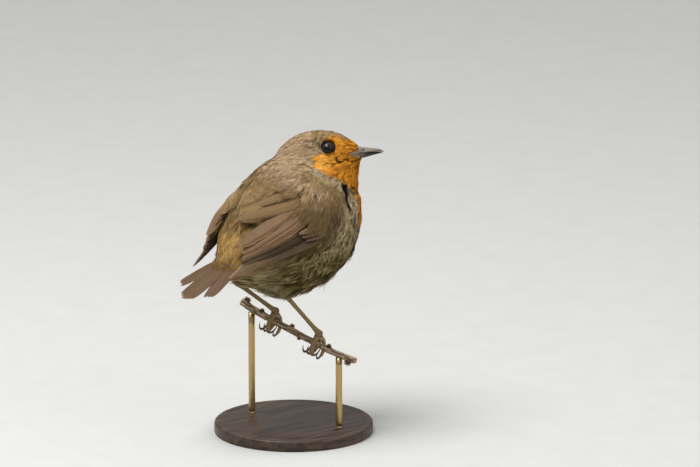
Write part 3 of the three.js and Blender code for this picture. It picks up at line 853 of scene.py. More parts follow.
def make_wing(name, side):
    near = side == RIGHT
    # The far wing's colours are lighter, as painted light against the shade it lies in; the near wing's tips
    # take painted light.
    seed, light, web, tip_light = (100, 1.0, 0.3, 1.7) if near else (300, 1.7, 0.0, 0.9)
    # Painted shade on the near wing's first two primaries, in the gap by the secondaries.
    painted_gap_shade = np.where(near & (np.arange(8) < 2), 0.3, 1.0)[:, None]

    def add_row(
        kind, specs, outwards, lifts, first, bases, edge, shape, looks, *replaced, slot="flight_feather"
    ):
        bank = Bank()
        for k, (spec, outward) in enumerate(zip(specs, outwards)):
            colours = np.broadcast_to(bases, (len(specs), 3))[k], np.broadcast_to(edge, (len(specs), 3))[k]
            lift = lifts[0] + lifts[1] * k
            add_quill(bank, side, spec, outward, lift, seed + first + k, *colours, shape, looks)
        quill_piece(f"wing_{name}_{kind}", bank, slot, *replaced)

    add_row(
        "tertial_feathers", TERTIALS, leaning(0, 0.5, 3), (1.25, -0.42), 0, VANE_BROWN * 1.2, RUSTY_EDGE,
        dict(outer=0.52, point=6.5, camber=0.42), dict(edge_width=0.2, shaft=0.35, inner=0.6),
    )
    add_row(
        "secondary_feathers", row(SECONDARIES, 6), leaning(0.6, 0.9, 6), (0.3, -0.16), 20,
        VANE_GREY * 0.75 * light, RUSTY_EDGE * 0.9 * light,
        dict(outer=0.46, point=7, camber=0.36), dict(edge_width=0.13, inner=web), f"wing_{name}_secondaries",
    )
    add_row(
        "primary_feathers", row(PRIMARIES, 8), leaning(0.85, 1, 8), (0.35, -0.10), 40,
        VANE_GREY * 0.85 * light * painted_gap_shade, PALE_EDGE * 0.7 * light * painted_gap_shade,
        dict(outer=0.4, point=3.2, camber=0.3),
        dict(edge_width=0.08, inner=web, tip_pale=0.3, tip_light=tip_light), f"wing_{name}_primaries",
    )
    add_row(
        "covert_feathers", row(COVERTS, 3), leaning(1, 1, 3), (0.75, -0.2), 70,
        # Each lower covert darker, as painted shade under the one above.
        VANE_BROWN * vec(1.15, 0.95, 0.75)[:, None], PALE_EDGE * 0.8,
        dict(point=2.4, camber=0.3, ragged=0.05), dict(edge_width=0.14),
    )
    add_row(
        "scapular_vanes", SCAPULAR_VANES, SCAPULAR_OUTWARDS, (0.5, 0.6), 80, MANTLE * 0.86, MANTLE * 1.05,
        dict(point=3.0, camber=0.42, ragged=0.04), dict(edge_width=0.2, inner=0.15, shaft=0.1, tip_pale=0.15),
        slot="plumage_brown",
    )


TAIL_FANS = [0.5, -0.5, 0.44, -0.44, 0.37, -0.37, 0.17, -0.16, 0.11, -0.10, 0.03, -0.04]  # from below to above


def make_tail():
    bank = Bank()
    for k, fan in enumerate(TAIL_FANS):
        inward = 1 - abs(2 * fan)
        outward = unit(vec(0.5, -0.5 * fan, 1))
        root = vec(-26, 6 * fan, -10.5) + UP * (0.14 * k)
        tip = vec(mix(-52, -60.3, inward), 23.6 * fan, mix(-23.1, -27.9, inward) + 2.6 * fan)
        tip = tip + outward * 0.14 * k
        path = [root, (root + tip) / 2 + outward * 0.7, tip]
        blunt = 3.6 if abs(fan) > 0.3 else 4.4
        points, faces, u, t, under_side, vane = quill(path, outward, 2.9, point=blunt, splits=1, seed=500 + k)
        tone = 1 + 0.08 * np.sin(5.3 * k)
        colours = vane_colours(
            u * (1 if fan < 0 else -1), t, under_side, VANE_BROWN * 0.7 * tone, PALE_EDGE * 0.66,
            edge_width=0.10, tip_pale=0.35, inner=0.45, shaft=0.6,
        )
        bank.add(points, faces, colours, vane, under_side)
    quill_piece("tail_feathers", bank, "flight_feather", "tail")


def quill_bvh():
    points, faces = quill_surface.arrays()
    return BVHTree.FromPolygons(points.tolist(), faces.tolist())


for side_name, side in SIDES.items():
    make_wing(side_name, side)
wing_tree = quill_bvh()
make_tail()

SHADE_REACH = 2.2
# Ways to look for a feather close above: its weight, and how far the ray leans to the side and ahead.
SHADE_RAYS = [(1.0, 0, 0), (0.95, 1.1, 0), (0.75, 2.4, 0), (0.6, -1.6, 0), (0.8, 0, 1.6), (0.8, 0, -1.6)]


def shade_quills():
    """Paints shade onto the flight feathers, darker where another feather lies close over them."""
    tree = quill_bvh()
    for piece, points, normals, colours, upper in quill_pieces:
        p, n = points[upper], normals[upper]
        aside = tangent(np.tile(UP, (len(p), 1)), n)
        ahead = np.cross(n, aside)
        shade = np.zeros(len(p))
        for share, a, b in SHADE_RAYS:
            way = unit(n + a * aside + b * ahead).tolist()
            hit = [tree.ray_cast(q, d, SHADE_REACH)[3] for q, d in zip((p + 0.04 * n).tolist(), way)]
            near = np.array([0.0 if d is None else 1 - 0.4 * d / SHADE_REACH for d in hit])
            shade = np.maximum(shade, share * near)
        colours[upper] *= 1 - (0.3 if "left" in piece.name else 0.93) * shade[:, None]
        paint(piece, "plumage", colours)


shade_quills()


def quills_above(p, n, reach=6.0):
    """How high the wing's feathers lie over these places of the skin, and nan where there are none."""
    rays = zip((p + reach * n).tolist(), (-n).tolist())
    away = [wing_tree.ray_cast(place, way, reach + 0.5)[3] for place, way in rays]
    return np.array([np.nan if d is None else reach - d for d in away])


# ---- Coat ----

TAIL_AIM = vec(-72, 0, -36)
HEELS = {"left": vec(-20.4, 10.2, -27.6), "right": vec(-9.8, -10.6, -30.2)}
HIPS = {"left": vec(-9, 9.5, -16), "right": vec(-3, -9.5, -20)}
STATIONS = 4


def thigh_share(p):
    """How much these places belong to a thigh, and the way down it."""
    share, way = np.zeros(len(p)), np.zeros((len(p), 3))
    for side in SIDES:
        t, away = beside_line(p, HIPS[side], HEELS[side], 1.2)
        near = smooth(7.5, 4.5, norm(away)) * smooth(0.35, 0.7, t)
        way[near > share] = unit(HEELS[side] - HIPS[side])
        share = np.maximum(share, near)
    return share, way


def lie(p, n):
    """The way that the feathers lie at these places of the skin, from root to tip."""
    away = unit(p - from_head(BILL_BASE + vec(2.5, 0, 0.6)))
    way = unit(layered(unit(TAIL_AIM - p), (away, smooth(-5, 5, above_neck(p)) * 0.9)))
    x, y, z = p.T
    hang = smooth(9, 16, np.abs(y)) * smooth(-14, 5, x) * smooth(-9, 0, z) * smooth(25, 19, z)
    way = unit(layered(way, (vec(-0.2, 0, -1), hang * 0.66)))
    share, down = thigh_share(p)
    way = unit(layered(way, (down, share * 0.8)))
    for place, look in eye_places():
        out = p - place
        flat = out - (out @ look)[:, None] * look
        near = smooth(5.5, 3.2, norm(flat)) * smooth(7, 4, norm(out))
        flat = unit(flat)
        way = unit(way + (near * (0.25 - np.minimum(dot(way, flat), 0)))[:, None] * flat)
    return tangent(way, n)


def coat_sizes(p, n):
    """Length, width and height of the feathers at these places."""
    f, _, up = to_head(p).T
    x, _, z = p.T
    head = smooth(-4, 4, above_neck(p))
    eye = eye_distance(p)
    under = smooth(-2, -14, z) * smooth(0.2, -0.4, n[:, 2] - 0.3 * n[:, 0])
    breast = smooth(4, 16, x) * (1 - under)
    thigh, _ = thigh_share(p)
    near_slit = bell(slit_distance(p), 2.2) * smooth(19, 16, z)
    face = smooth(3, 13, f) * smooth(20, 25, up + 0.3 * f)
    on_head = mix(mix(5.0, 3.3, face), 1.7, smooth(20, 25, f))
    on_head = mix(on_head, 1.3, smooth(5.0, 3.6, eye))
    length = mix(8.5, 11.5, under)
    width = mix(4.4, 4.6, np.maximum(under, breast))
    height = mix(1.2, 1.7, np.maximum(under, 0.5 * breast))
    length = mix(length, on_head, head)
    width = mix(width, np.maximum(on_head * 0.42, 0.6), head)
    height = mix(mix(height, mix(0.95, 0.75, face), head), 0.45, head * smooth(5.0, 3.8, eye))
    length = mix(mix(length, 4.5, thigh), 3.2, near_slit)
    width = mix(mix(width, 2.2, thigh), 1.6, near_slit)
    return length, width, mix(height, 0.7, thigh)


def candidates(per_mm2):
    """Random places on the skin, with their normals and their places on its unwrap."""
    a, b, c = skin_points[skin_faces].transpose(1, 0, 2)
    area = norm(np.cross(b - a, c - a)) / 2
    pick = random.choice(len(area), int(area.sum() * per_mm2), p=area / area.sum())
    a, b = random.random((2, len(pick)))
    over = a + b > 1
    a, b = np.where(over, 1 - a, a), np.where(over, 1 - b, b)
    share = np.stack([1 - a - b, a, b], 1)[:, :, None]
    corners = skin_faces[pick]
    p, n, uv = ((v * share).sum(1) for v in (skin_points[corners], skin_normals[corners], skin_uv[pick]))
    return p, unit(n), uv


def thinned(p, spacing):
    """One place kept in each cell of a grid that is as coarse as the spacing there."""
    step = 1.15
    level = np.round(np.log(spacing) / math.log(step)).astype(int)
    cell = np.floor(p / (step**level)[:, None]).astype(int)
    order = random.permutation(len(p))
    _, first = np.unique(np.c_[level, cell][order], axis=0, return_index=True)
    return np.sort(order[first])


def shafts(p, n, length, yaw, pull, stiff):
    """Each feather's shaft as it lies along the skin: places, normals and ways across."""
    places, normals, acrosses = [p], [n], []
    way = lie(p, n)
    for k in range(STATIONS):
        here, normal = places[-1], normals[-1]
        way = mix(lie(here, normal), way, stiff)
        way = tangent(way + yaw[:, None] * np.cross(normal, way) + pull, normal)
        acrosses.append(np.cross(normal, way))
        if k < STATIONS - 1:
            step = here + way * (length / (STATIONS - 1))[:, None]
            there, found = nearest(step)
            places.append(mix(there, step, stiff))
            normals.append(unit(mix(found, normal, stiff)))
    return [np.stack(part, 1) for part in (places, normals, acrosses)]


def along(stack, s):
    """A stack of stations (feathers, stations, 3) at shares s (feathers, barbs) of the way along."""
    t = np.clip(s, 0, 1) * (STATIONS - 1)
    i = np.minimum(t.astype(int), STATIONS - 2)
    rows = np.arange(len(stack))[:, None]
    a, b = stack[rows, i], stack[rows, i + 1]
    return a + (b - a) * (t - i)[..., None]


def short_of_slit(p, n, length):
    """Shorter feathers where full ones would lie across the fold between shoulder and breast."""
    way = lie(p, n)
    share = np.ones(len(p))
    for step in (1.0, 0.8, 0.6, 0.4, 0.2):
        share = np.where(in_slit(p + way * (step * length)[:, None]), max(step - 0.15, 0.15), share)
    return length * share, share


def side_sags(q, nn, aa, half):
    """How far the body falls away on either side of each feather."""
    middle, normal, across = q[:, 2], nn[:, 2], aa[:, 2]
    beside = (nearest(middle + side * across * half[:, None])[0] for side in (-1, 1))
    return [np.clip(dot(place - middle, normal), -0.5 * half, 0.3 * half) for place in beside]


# Each barb has two corners near its root, two at its middle and one at its tip.
BARB_CORNERS = 5
BARB_FACES = np.array([[0, 3, 1], [0, 2, 3], [2, 4, 3]])


def barbed(
    stations, sags, uv, length, width, height, tint, barbs, curl=0.12, ragged=0.12, dark=0.5, contrast=0.09
):
    """Feathers of loose barbs on their shafts: points, triangles, colours, normals and unwrap.

    tint gives the colours of places, dark is the painted shade of the roots, under the feathers that lie over
    them, and contrast varies barb from barb.
    """
    q, nn, aa = stations
    count = len(q)
    shape = count, barbs
    half = width / 2

    def vary(spread, about=1):
        """A random number for each barb."""
        return about + random.normal(0, spread, shape)

    rank = np.linspace(-1, 1, barbs)[None, :] + vary(0.5 / barbs, 0)
    start = 0.02 + 0.4 * random.random(shape) * (1 - 0.4 * np.abs(rank))
    end = np.clip((1 - 0.33 * rank**2) * vary(ragged), start + 0.2, 1.12)
    lift = height[:, None] * vary(0.10)
    roll = vary(0.35, 0)
    sway = vary(curl, 0)
    blade = 1.9 * width[:, None] / barbs * vary(0.15)
    middle = start + 0.55 * (end - start)
    turn, rise = np.cos(roll)[..., None], np.sin(roll)[..., None]

    def spot(u, s):
        """Places at shares u across and s along: on the body, raised off it, and the ways up and across."""
        base, normal, across = along(q, s), along(nn, s), along(aa, s)
        over = np.clip(s - 1, 0, 0.3)[..., None] * length[:, None, None]
        sag = np.where(u < 0, sags[0][:, None], sags[1][:, None]) * u**2
        h = lift * (0.06 + 0.94 * np.clip(s, 0, 1.1) ** 0.85) * (1 - 0.3 * u**2) + sag
        ground = base + across * (u * half[:, None])[..., None] + np.cross(across, normal) * over
        return ground, ground + normal * h[..., None], normal, across

    ground, *_ = spot(rank * 0.85, mix(middle, end, 0.4))
    tone = tint(ground.reshape(-1, 3)).reshape(*shape, 3)
    tone = tone * (1 + random.normal(0, 0.07, count))[:, None, None]
    locks = np.repeat(random.normal(0, contrast, (count, -(-barbs // 3))), 3, axis=1)[:, :barbs]
    tone = tone * np.clip(locks + vary(0.5 * contrast), 0.25, 2.0)[..., None]
    corners = []
    # Roots, middles and tips of the barbs: painted shade at the roots and a little painted light at the tips.
    for u, s, wide, shade in (
        (rank * 0.3, start, 0.55, dark),
        (rank * 0.85, middle, 1.0, 0.97),
        (rank + sway, end, 0.0, 1.05),
    ):
        _, place, normal, across = spot(u, s)
        tilt = turn * across + rise * normal
        facing = unit(0.75 * normal + 0.25 * (turn * normal - rise * across))
        patch = uv[:, None, :] + np.stack([0.0015 * u, 0.003 * (np.clip(s, 0, 1) - 0.5)], -1)
        for edge in (-1, 1) if wide else (0,):
            corner = place + tilt * (edge * wide / 2 * blade)[..., None]
            corners.append((corner, tone * shade, facing, patch))
    points, *rest = (np.stack(part, 2).reshape(-1, part[0].shape[-1]) for part in zip(*corners))
    faces = np.arange(count * barbs)[:, None, None] * BARB_CORNERS + BARB_FACES
    return points, faces.reshape(-1, 3), *rest


LEADING_SHARE = 0.12
BLOCK = 2000


def gathering(p, n, length):
    """The pull on each feather towards the tip of a nearby leading one, so that tips gather in tufts."""
    tips = p + lie(p, n) * length[:, None]
    leaders = np.sort(random.choice(len(p), max(1, int(len(p) * LEADING_SHARE)), replace=False))
    heads = tips[leaders] + random.normal(0, 0.5, (len(leaders), 3))
    pull = np.zeros_like(p)
    for start in range(0, len(p), BLOCK):
        block = slice(start, start + BLOCK)
        away = ((tips[block, None] - heads[None]) ** 2).sum(-1)
        pull[block] = heads[away.argmin(1)] - tips[block]
    return pull / length[:, None]


def coat_piece(name, made, slot):
    """A piece of loose feathers, each with its own place on the skin's unwrap."""
    points, faces, colours, normals, uvs = made
    piece = add_piece(name, points, faces, plumage, slot, plumage=colours)
    layer = piece.data.uv_layers.new(name="OFBake")
    layer.data.foreach_set("uv", uvs[faces.ravel()].astype(np.float32).ravel())
    piece.data.normals_split_custom_set_from_vertices(normals.astype(np.float32))


def under_or_over(q, nn, height):
    """Tucks feathers under the wing where they come from below it, and lays them over its roots otherwise.

    Returns which feathers to keep and their heights.
    """
    root, tip = q[:, 0], q[:, 3]
    over_root, over_middle, over_tip = (quills_above(q[:, k], nn[:, k]) for k in (0, 2, 3))
    top = np.fmax(over_tip, over_middle)
    crosses = ~np.isnan(top)
    below = root[:, 2] < 0.316 * (root[:, 0] - 2.6) - 0.3
    height = np.where(crosses & below, np.minimum(height, 0.45 * top), height)
    height = np.where(crosses & ~below, np.maximum(height, np.minimum(top + 0.35, 3.4)), height)
    kept = ~(over_root > 0.5)
    for (start, _, end, _), reach, first in zip(SCAPULAR_VANES, (2.0, 2.9), (0.12, 0.04)):
        t, away = beside_line(on_right(tip), start, end)
        kept &= ~(crosses & (norm(away) < reach) & (t > first))
    return kept, height


# Each piece of the coat: its barbs and their looks, how much its tips gather, and its slot.
COATS = {
    "coat_face": (dict(barbs=11, ragged=0.25, contrast=0.2, dark=0.35), 0.7, "plumage_orange"),
    "coat_crown": (dict(barbs=15, contrast=0.2, dark=0.4), 0.5, "plumage_brown"),
    "coat_mantle": (dict(barbs=27, dark=0.42, contrast=0.09, ragged=0.08), 0.15, "plumage_brown"),
    "coat_rump": (dict(barbs=27, ragged=0.15, curl=0.15, contrast=0.09, dark=0.45), 0.3, "plumage_brown"),
    "coat_breast": (dict(barbs=23, ragged=0.2, curl=0.2, dark=0.42, contrast=0.2), 0.4, "plumage_orange"),
    "coat_belly": (dict(barbs=23, ragged=0.35, curl=0.3, dark=0.35, contrast=0.34), 0.5, "plumage_brown"),
}
MOST_TRIANGLES = 190000
# The bare skin at the corner of the mouth, as forward and up.
GAPE_WEDGE = [
    (21.0, 32.1), (23.6, 32.4), (26.4, 32.6), (28.6, 32.4), (28.6, 28.7), (24.8, 29.5), (21.8, 31.1)
]


def coat_groups(p):
    """Which piece of the coat each place belongs to."""
    f, _, up = to_head(p).T
    x, _, z = p.T
    head = above_neck(p) > 0
    face = head & (inside_outline(f, up, FACE_EDGE) > -1.5)
    under = ~head & ((z < 0.39 * (x - 17) + 1) | (x > 17))
    rump = ~head & ~under & (x < -20)
    belly = under & (z < -16)
    return dict(zip(COATS, (face, head & ~face, ~head & ~under & ~rump, rump, under & ~belly, belly)))


def bare(p):
    """Places without feathers: the eyes, the bill, the gape and the bottom of the fold."""
    f, s, up = to_head(p).T
    bill = ((f - 28.0) / 3.0) ** 2 + (s / 2.2) ** 2 + ((up - 31.5) / 2.2) ** 2 <= 1
    bill |= f >= mix(26.6, 27.3, smooth(29.4, 28.8, up))
    wedge = (inside_outline(f, up, GAPE_WEDGE) > -0.3) & (np.abs(s) > 1.5)
    return (eye_distance(p, 2.0) <= EYE_OPENING + 0.15) | bill | in_slit(p) | wedge


def make_coat():
    p, n, uv = candidates(per_mm2=10)
    length, width, height = coat_sizes(p, n)
    kept = thinned(p, np.clip(0.2 * length, 0.42, 1.8))
    p, n, uv, length, width, height = (a[kept] for a in (p, n, uv, length, width, height))
    length, share = short_of_slit(p, n, length)
    width, height = width * (0.4 + 0.6 * share), height * (0.5 + 0.5 * share)
    height = height * (1 + 0.7 * (random.random(len(height)) > 0.94) * smooth(0, -5, p[:, 2]))
    keep = ~bare(p)
    places = [a[keep] for a in (p, n, uv, length, width, height)]
    for name, mask in coat_groups(places[0]).items():
        looks, gather, slot = COATS[name]
        p, n, uv, length, width, height = (a[mask] for a in places)
        pull = gather * gathering(p, n, length)
        turn = random.normal(0, 0.12, len(p))
        stations = shafts(p, n, length, turn, pull, 0.6 if name == "coat_rump" else 0.0)
        seen, high = under_or_over(*stations[:2], height)
        sags = side_sags(*stations, width / 2)
        rest = [a[seen] for a in (*stations, *sags, uv, length, width, high)]
        parts = -(-len(rest[0]) // (MOST_TRIANGLES // (3 * looks["barbs"])))
        for part in range(parts):
            q, nn, aa, sag_a, sag_b, *sizes = (a[part::parts] for a in rest)
            made = barbed((q, nn, aa), (sag_a, sag_b), *sizes, markings, **looks)
            coat_piece(f"{name}_{part + 1}", made, slot)


make_coat()


# ---- Larger loose feathers ----


def skin_place(p):
    """The nearest place on the skin, its normal and its place on the unwrap."""
    place, _, face, _ = skin_tree.find_nearest(p.tolist())
    corners = skin_faces[face]
    share = unit(1 / (norm(skin_points[corners] - np.array(place)) + 0.05))
    return np.array(place), unit(skin_normals[corners].mean(0)), share / share.sum() @ skin_uv[face]


def laid_feathers(name, specs, tint, **looks):
    """Loose feathers along given shafts, each as (root, middle, tip, width, outward)."""
    laid = []
    for root, middle, tip, width, outward in specs:
        start, normal, place = skin_place(root)
        path = curve([start + 0.2 * normal, middle, tip], np.linspace(0, 1, STATIONS))
        way = unit(np.gradient(path, axis=0))
        across = unit(np.cross(np.tile(unit(outward), (STATIONS, 1)), way))
        laid.append((path, np.cross(way, across), across, place, norm(np.diff(path, axis=0)).sum(), width))
    *stations, uv, length, width = (np.array(part) for part in zip(*laid))
    sag = -0.12 * width
    made = barbed(stations, (sag, sag), uv, length, width, np.full(len(uv), 0.15), tint, **looks)
    coat_piece(name, made, "plumage_brown")


# The right side's scapulars: root, middle and tip of the shaft, width and the way they face.
SCAPULARS = [
    ((-9.5, -15.5, 18.5), (-20.4, -10.5, 14.6), (-28.6, -3.6, 9.9), 6.4, (-0.60, -0.42, 0.68)),
    ((-8.0, -18.5, 16.0), (-20.6, -13.2, 12.2), (-30.6, -5.2, 8.6), 6.8, (-0.58, -0.50, 0.64)),
    ((-7.0, -20.5, 13.5), (-20.8, -15.4, 10.2), (-32.6, -6.2, 6.6), 7.4, (-0.56, -0.55, 0.62)),
    ((-5.0, -21.5, 12.5), (-17.6, -18.4, 9.2), (-28.0, -11.4, 5.6), 6.4, (-0.50, -0.62, 0.60)),
]


def mottled(colour, amount, p, size, seed):
    return colour * (1 + amount * (noise(p, size, seed) - 0.5))[:, None]


def scapular_tint(p):
    return markings(p) * 1.08


def rump_tint(p):
    tail_like = smooth(-37, -43, p[:, 0] + 2 * (noise(p, 2.0, 19) - 0.5))
    return mottled(layered(RUMP, (VANE_BROWN * 1.25, tail_like)), 0.5, p * vec(0.5, 1, 0.5), 1.8, 12)


def vent_tint(p):
    return mottled(VENT, 0.3, p, 2.0, 13)


def wisp_tint(p):
    return layered(FLANK_PALE * 0.65, (SIDE_PALE, smooth(-16, -2, p[:, 2]) * 0.8))


def make_scapulars():
    for name, side in SIDES.items():
        specs = []
        for *places, width, outward in SCAPULARS:
            outward = unit(vec(*outward)) + (FLATTER if side == LEFT else 0)
            for k in range(3):
                shift = random.normal(0, 0.25, 3) + vec(0.9, 0.3, 0.5) * k * 0.7
                lift = unit(outward) * (0.5 - 0.14 * k)
                path = (mirrored(np.array(q) + shift + lift, side) for q in places)
                specs.append((*path, width * (1 - 0.06 * k), mirrored(outward, side)))
        looks = dict(barbs=75, curl=0.05, ragged=0.05, dark=0.7, contrast=0.10)
        laid_feathers(f"wing_{name}_scapular_feathers", specs, scapular_tint, **looks)


def make_tail_coverts():
    above, below = [], []
    for k in range(56):
        step = (k // 14) / 3
        fan = ((k % 14) / 6.5 - 1) * (1 - 0.15 * step) + random.normal(0, 0.05)
        reach = random.normal(0, 1.0) - 2.0 * fan**2
        root = vec(mix(-31, -23, step), 4.4 * fan, mix(-10.5, -3.5, step))
        tip = vec(mix(-46, -35.5, step) - reach, (3.6 + 0.8 * step) * fan, 0)
        tip[2] = -11.4 + 0.472 * (tip[0] + 26) + mix(0.3, 1.4, step) - 0.35 * fan**2
        middle = mix(root, tip, 0.5) + vec(-0.2, 0, 0.35 + 0.6 * step)
        above.append((root, middle, tip, 3.3, vec(-0.45, 0.45 * fan, 0.9)))
        root = vec(mix(-24, -19, step), 4.2 * fan, mix(-17.6, -19.5, step))
        tip = vec(mix(-38, -31, step) - reach, 3.8 * fan, mix(-19.6, -20.8, step))
        below.append((root, mix(root, tip, 0.5) - 0.5 * UP, tip, 3.6, vec(-0.2, 0.3 * fan, -1)))
    looks = dict(barbs=27, curl=0.02, ragged=0.2, dark=0.6, contrast=0.16)
    laid_feathers("tail_coverts_upper", above, rump_tint, **looks)
    laid_feathers("tail_coverts_under", below, vent_tint, **looks)


def hanging_strand():
    root = vec(6.4, -16.4, -22.6) + random.normal(0, 1, 3) * vec(1.8, 0.8, 0.8)
    tip = root + vec(random.normal(-0.3, 0.7), random.normal(1.6, 0.5), random.normal(-5.4, 1.0))
    return root, mix(root, tip, 0.5) + vec(0.3, -0.7, 0.2), tip, 0.8, vec(0.3, -0.8, -0.4)


def flank_strand(side):
    line = mix(vec(16, -23.5, -1.0), vec(-9, -22.5, -8.5), random.random())
    root, out, _ = skin_place(mirrored(line - UP * random.gamma(2, 2.2), side))
    way = vec(-0.45, 0, -1) + random.normal(0, 0.45, 3)
    way = unit(way - way @ out * out)
    bend = 0.25 * random.normal() * np.cross(out, way)
    long = random.uniform(4.5, 8.5)
    middle, above_middle, _ = skin_place(root + long * 0.5 * (way + bend))
    tip, above_tip, _ = skin_place(root + long * way)
    width = random.uniform(0.35, 0.9)
    return root, middle + above_middle * 2.5, tip + above_tip * 2.5, width, above_middle


def make_wisps():
    """Loose strands that hang from the side of the belly and lie tangled over the flank."""
    specs = [hanging_strand() for _ in range(14)]
    specs += [flank_strand(side) for side in SIDES.values() for _ in range(110)]
    laid_feathers("belly_wisps", specs, wisp_tint, barbs=7, curl=0.1, ragged=0.5, dark=0.8, contrast=0.3)


make_scapulars()
make_tail_coverts()
make_wisps()


# ---- Eyes ----

IRIS = vec(0.009, 0.0045, 0.003)
LID_DARK = vec(0.02, 0.014, 0.011)
LID_PALE = vec(0.42, 0.25, 0.09)


def make_eyes():
    glossy = painted_material("eye", 0.2, (3000,), 0.3, 0, specular=0.26, detail=2.0)
    lid_look = painted_material("eyelid", 0.5, (2500, 6000), 0.3, 0.00004)
    for name, (place, way) in zip(SIDES, eye_places()):
        sideways = unit(np.cross(UP, way))
        axes = np.stack([sideways, np.cross(way, sideways), way])
        points, faces = ball(0, 1, 64, 48)
        out = np.hypot(points[:, 0], points[:, 1])
        bulge = 1 + 0.02 * bell(out, 0.5) * (points[:, 2] > 0)
        tint = IRIS * (0.6 + 0.8 * smooth(0.42, 0.75, out))[:, None]
        tint[out < 0.42], tint[out > 0.82] = 0.003, 0.006
        globe = (points * bulge[:, None] * EYE_RADIUS) @ axes + place
        add_piece(f"eye_{name}_globe", globe, faces, glossy, "eye", f"eye_{name}", tint=tint)
        points, faces, tint = lid()
        add_piece(f"eye_{name}_lid", points @ axes + place, faces, lid_look, "leg", tint=tint)


def lid():
    """A ring of bare skin round the eye, beaded and pale outside, dark where it meets the eye."""
    around, ring = 120, 10
    angle, turn = round_turn(around)[:, None], round_turn(ring)[None]
    thick = 0.2 * (1 + 0.10 * np.sin(26 * angle) + 0.08 * np.sin(41 * angle + 1))
    reach = 2.70 + 0.08 * np.cos(2 * angle) + thick * np.cos(turn)
    high = 2.12 + 0.85 * thick * np.sin(turn) - 0.25 * (reach - 2.70) + 0.1
    points = np.stack([reach * np.cos(angle) * 1.03, reach * np.sin(angle) * 0.96, high], -1).reshape(-1, 3)
    pale = smooth(0.1, 0.8, np.cos(turn)) * smooth(0.3, -0.6, np.sin(angle))
    pale = pale.ravel() * smooth(0.3, 0.55, noise(points, 0.9, 11)) * 0.85
    return points, grid_faces(around, ring, closed=True, rolled=True), layered(LID_DARK, (LID_PALE, pale))


make_eyes()

# ---- Bill ----

HORN_GREY = vec(0.15, 0.122, 0.098)
HORN_PALE = vec(0.30, 0.25, 0.19)
HORN_BLACK = vec(0.014, 0.012, 0.009)
GAPE_PALE = vec(0.25, 0.135, 0.066)


def lofted(upper, lower, half_widths, pinch):
    """A closed body between two outlines in the head's frame, and how near each point is to its ridge."""
    steps, around = 90, 44
    t, turn = np.linspace(0, 1, steps), round_turn(around)
    top, bottom = curve(upper, t)[:, None], curve(lower, t)[:, None]
    half = np.maximum(curve(half_widths, t), 0)
    high = np.cos(turn)
    reach = half * (1 - pinch * high) * np.sin(turn)
    points = (top + bottom) / 2 + (top - bottom) / 2 * high[:, None] + reach[..., None] * vec(0, 1, 0)
    return points.reshape(-1, 3), grid_faces(steps, around, closed=True), np.tile(high, steps)


def make_bill():
    horn = painted_material("horn", 0.42, (1500, 6000), 0.14, 0.00002)
    upper, faces, ridge = lofted(
        [(19, 0, 32), (23, 0, 33.75), (28, 0, 33.45), (32.5, 0, 32.95), (35.4, 0, 32.4), (37.1, 0, 31.2)],
        [(19, 0, 32), (22, 0, 31.0), (27, 0, 31.05), (32, 0, 31.35), (35, 0, 31.55), (37.1, 0, 31.2)],
        [0, 3.0, 2.45, 1.55, 0.92, 0],
        pinch=0.34,
    )
    f, s, up = upper.T
    nostril = bell(f - 27.7, 0.75) * bell(up - 32.45 + 0.05 * (f - 27.7), 0.3) * (np.abs(s) > 0.6)
    fossa = bell(f - 27.4, 1.9) * bell(up - 32.5, 0.55) * (np.abs(s) > 0.5)
    upper[:, 1] -= np.sign(s) * (0.28 * fossa + 0.5 * nostril)
    cutting = smooth(-0.5, -0.8, ridge) * (np.abs(s) > 0.25 * (37.3 - f) / 10)
    tint = layered(
        HORN_GREY,
        (HORN_PALE, smooth(0.75, 1.0, ridge) * smooth(36.5, 30, f) * 0.55),
        (HORN_PALE, cutting * smooth(34, 26, f) * 0.9),
        (HORN_BLACK, smooth(31, 36, f) * smooth(0.75, 0.2, ridge) * 0.7),
        # Painted shade in the nostril's opening.
        (HORN_BLACK, np.clip(nostril * 1.3, 0, 1)),
    )
    tint = mottled(tint, 0.5, upper * vec(0.12, 1, 1), 0.3, 26)
    add_piece("bill_upper_horn", from_head(upper), faces, horn, "horn", "bill_upper", tint=tint)
    lower, faces, ridge = lofted(
        [(19, 0, 30.2), (22, 0, 30.75), (27, 0, 30.9), (32, 0, 31.15), (35, 0, 31.3), (36.4, 0, 31.05)],
        [(19, 0, 30), (22, 0, 28.0), (27, 0, 28.45), (31.5, 0, 29.65), (34.8, 0, 30.55), (36.4, 0, 31.0)],
        [0, 2.85, 2.3, 1.42, 0.8, 0],
        pinch=-0.25,
    )
    f = lower[:, 0]
    tint = layered(
        HORN_BLACK * 1.5,
        (HORN_PALE, smooth(0.3, 0.9, ridge) * smooth(33, 25, f) * 0.8),
        (GAPE_PALE, smooth(28.5, 25, f) * smooth(-0.6, 0.5, ridge) * 0.6),
    )
    tint = mottled(tint, 0.5, lower * vec(0.12, 1, 1), 0.3, 27)
    add_piece("bill_lower_horn", from_head(lower), faces, horn, "horn", "bill_lower", tint=tint)
    for name, side in SIDES.items():
        points, faces, tint = gape(side)
        add_piece(f"bill_gape_{name}", from_head(points), faces, horn, "horn", tint=tint)


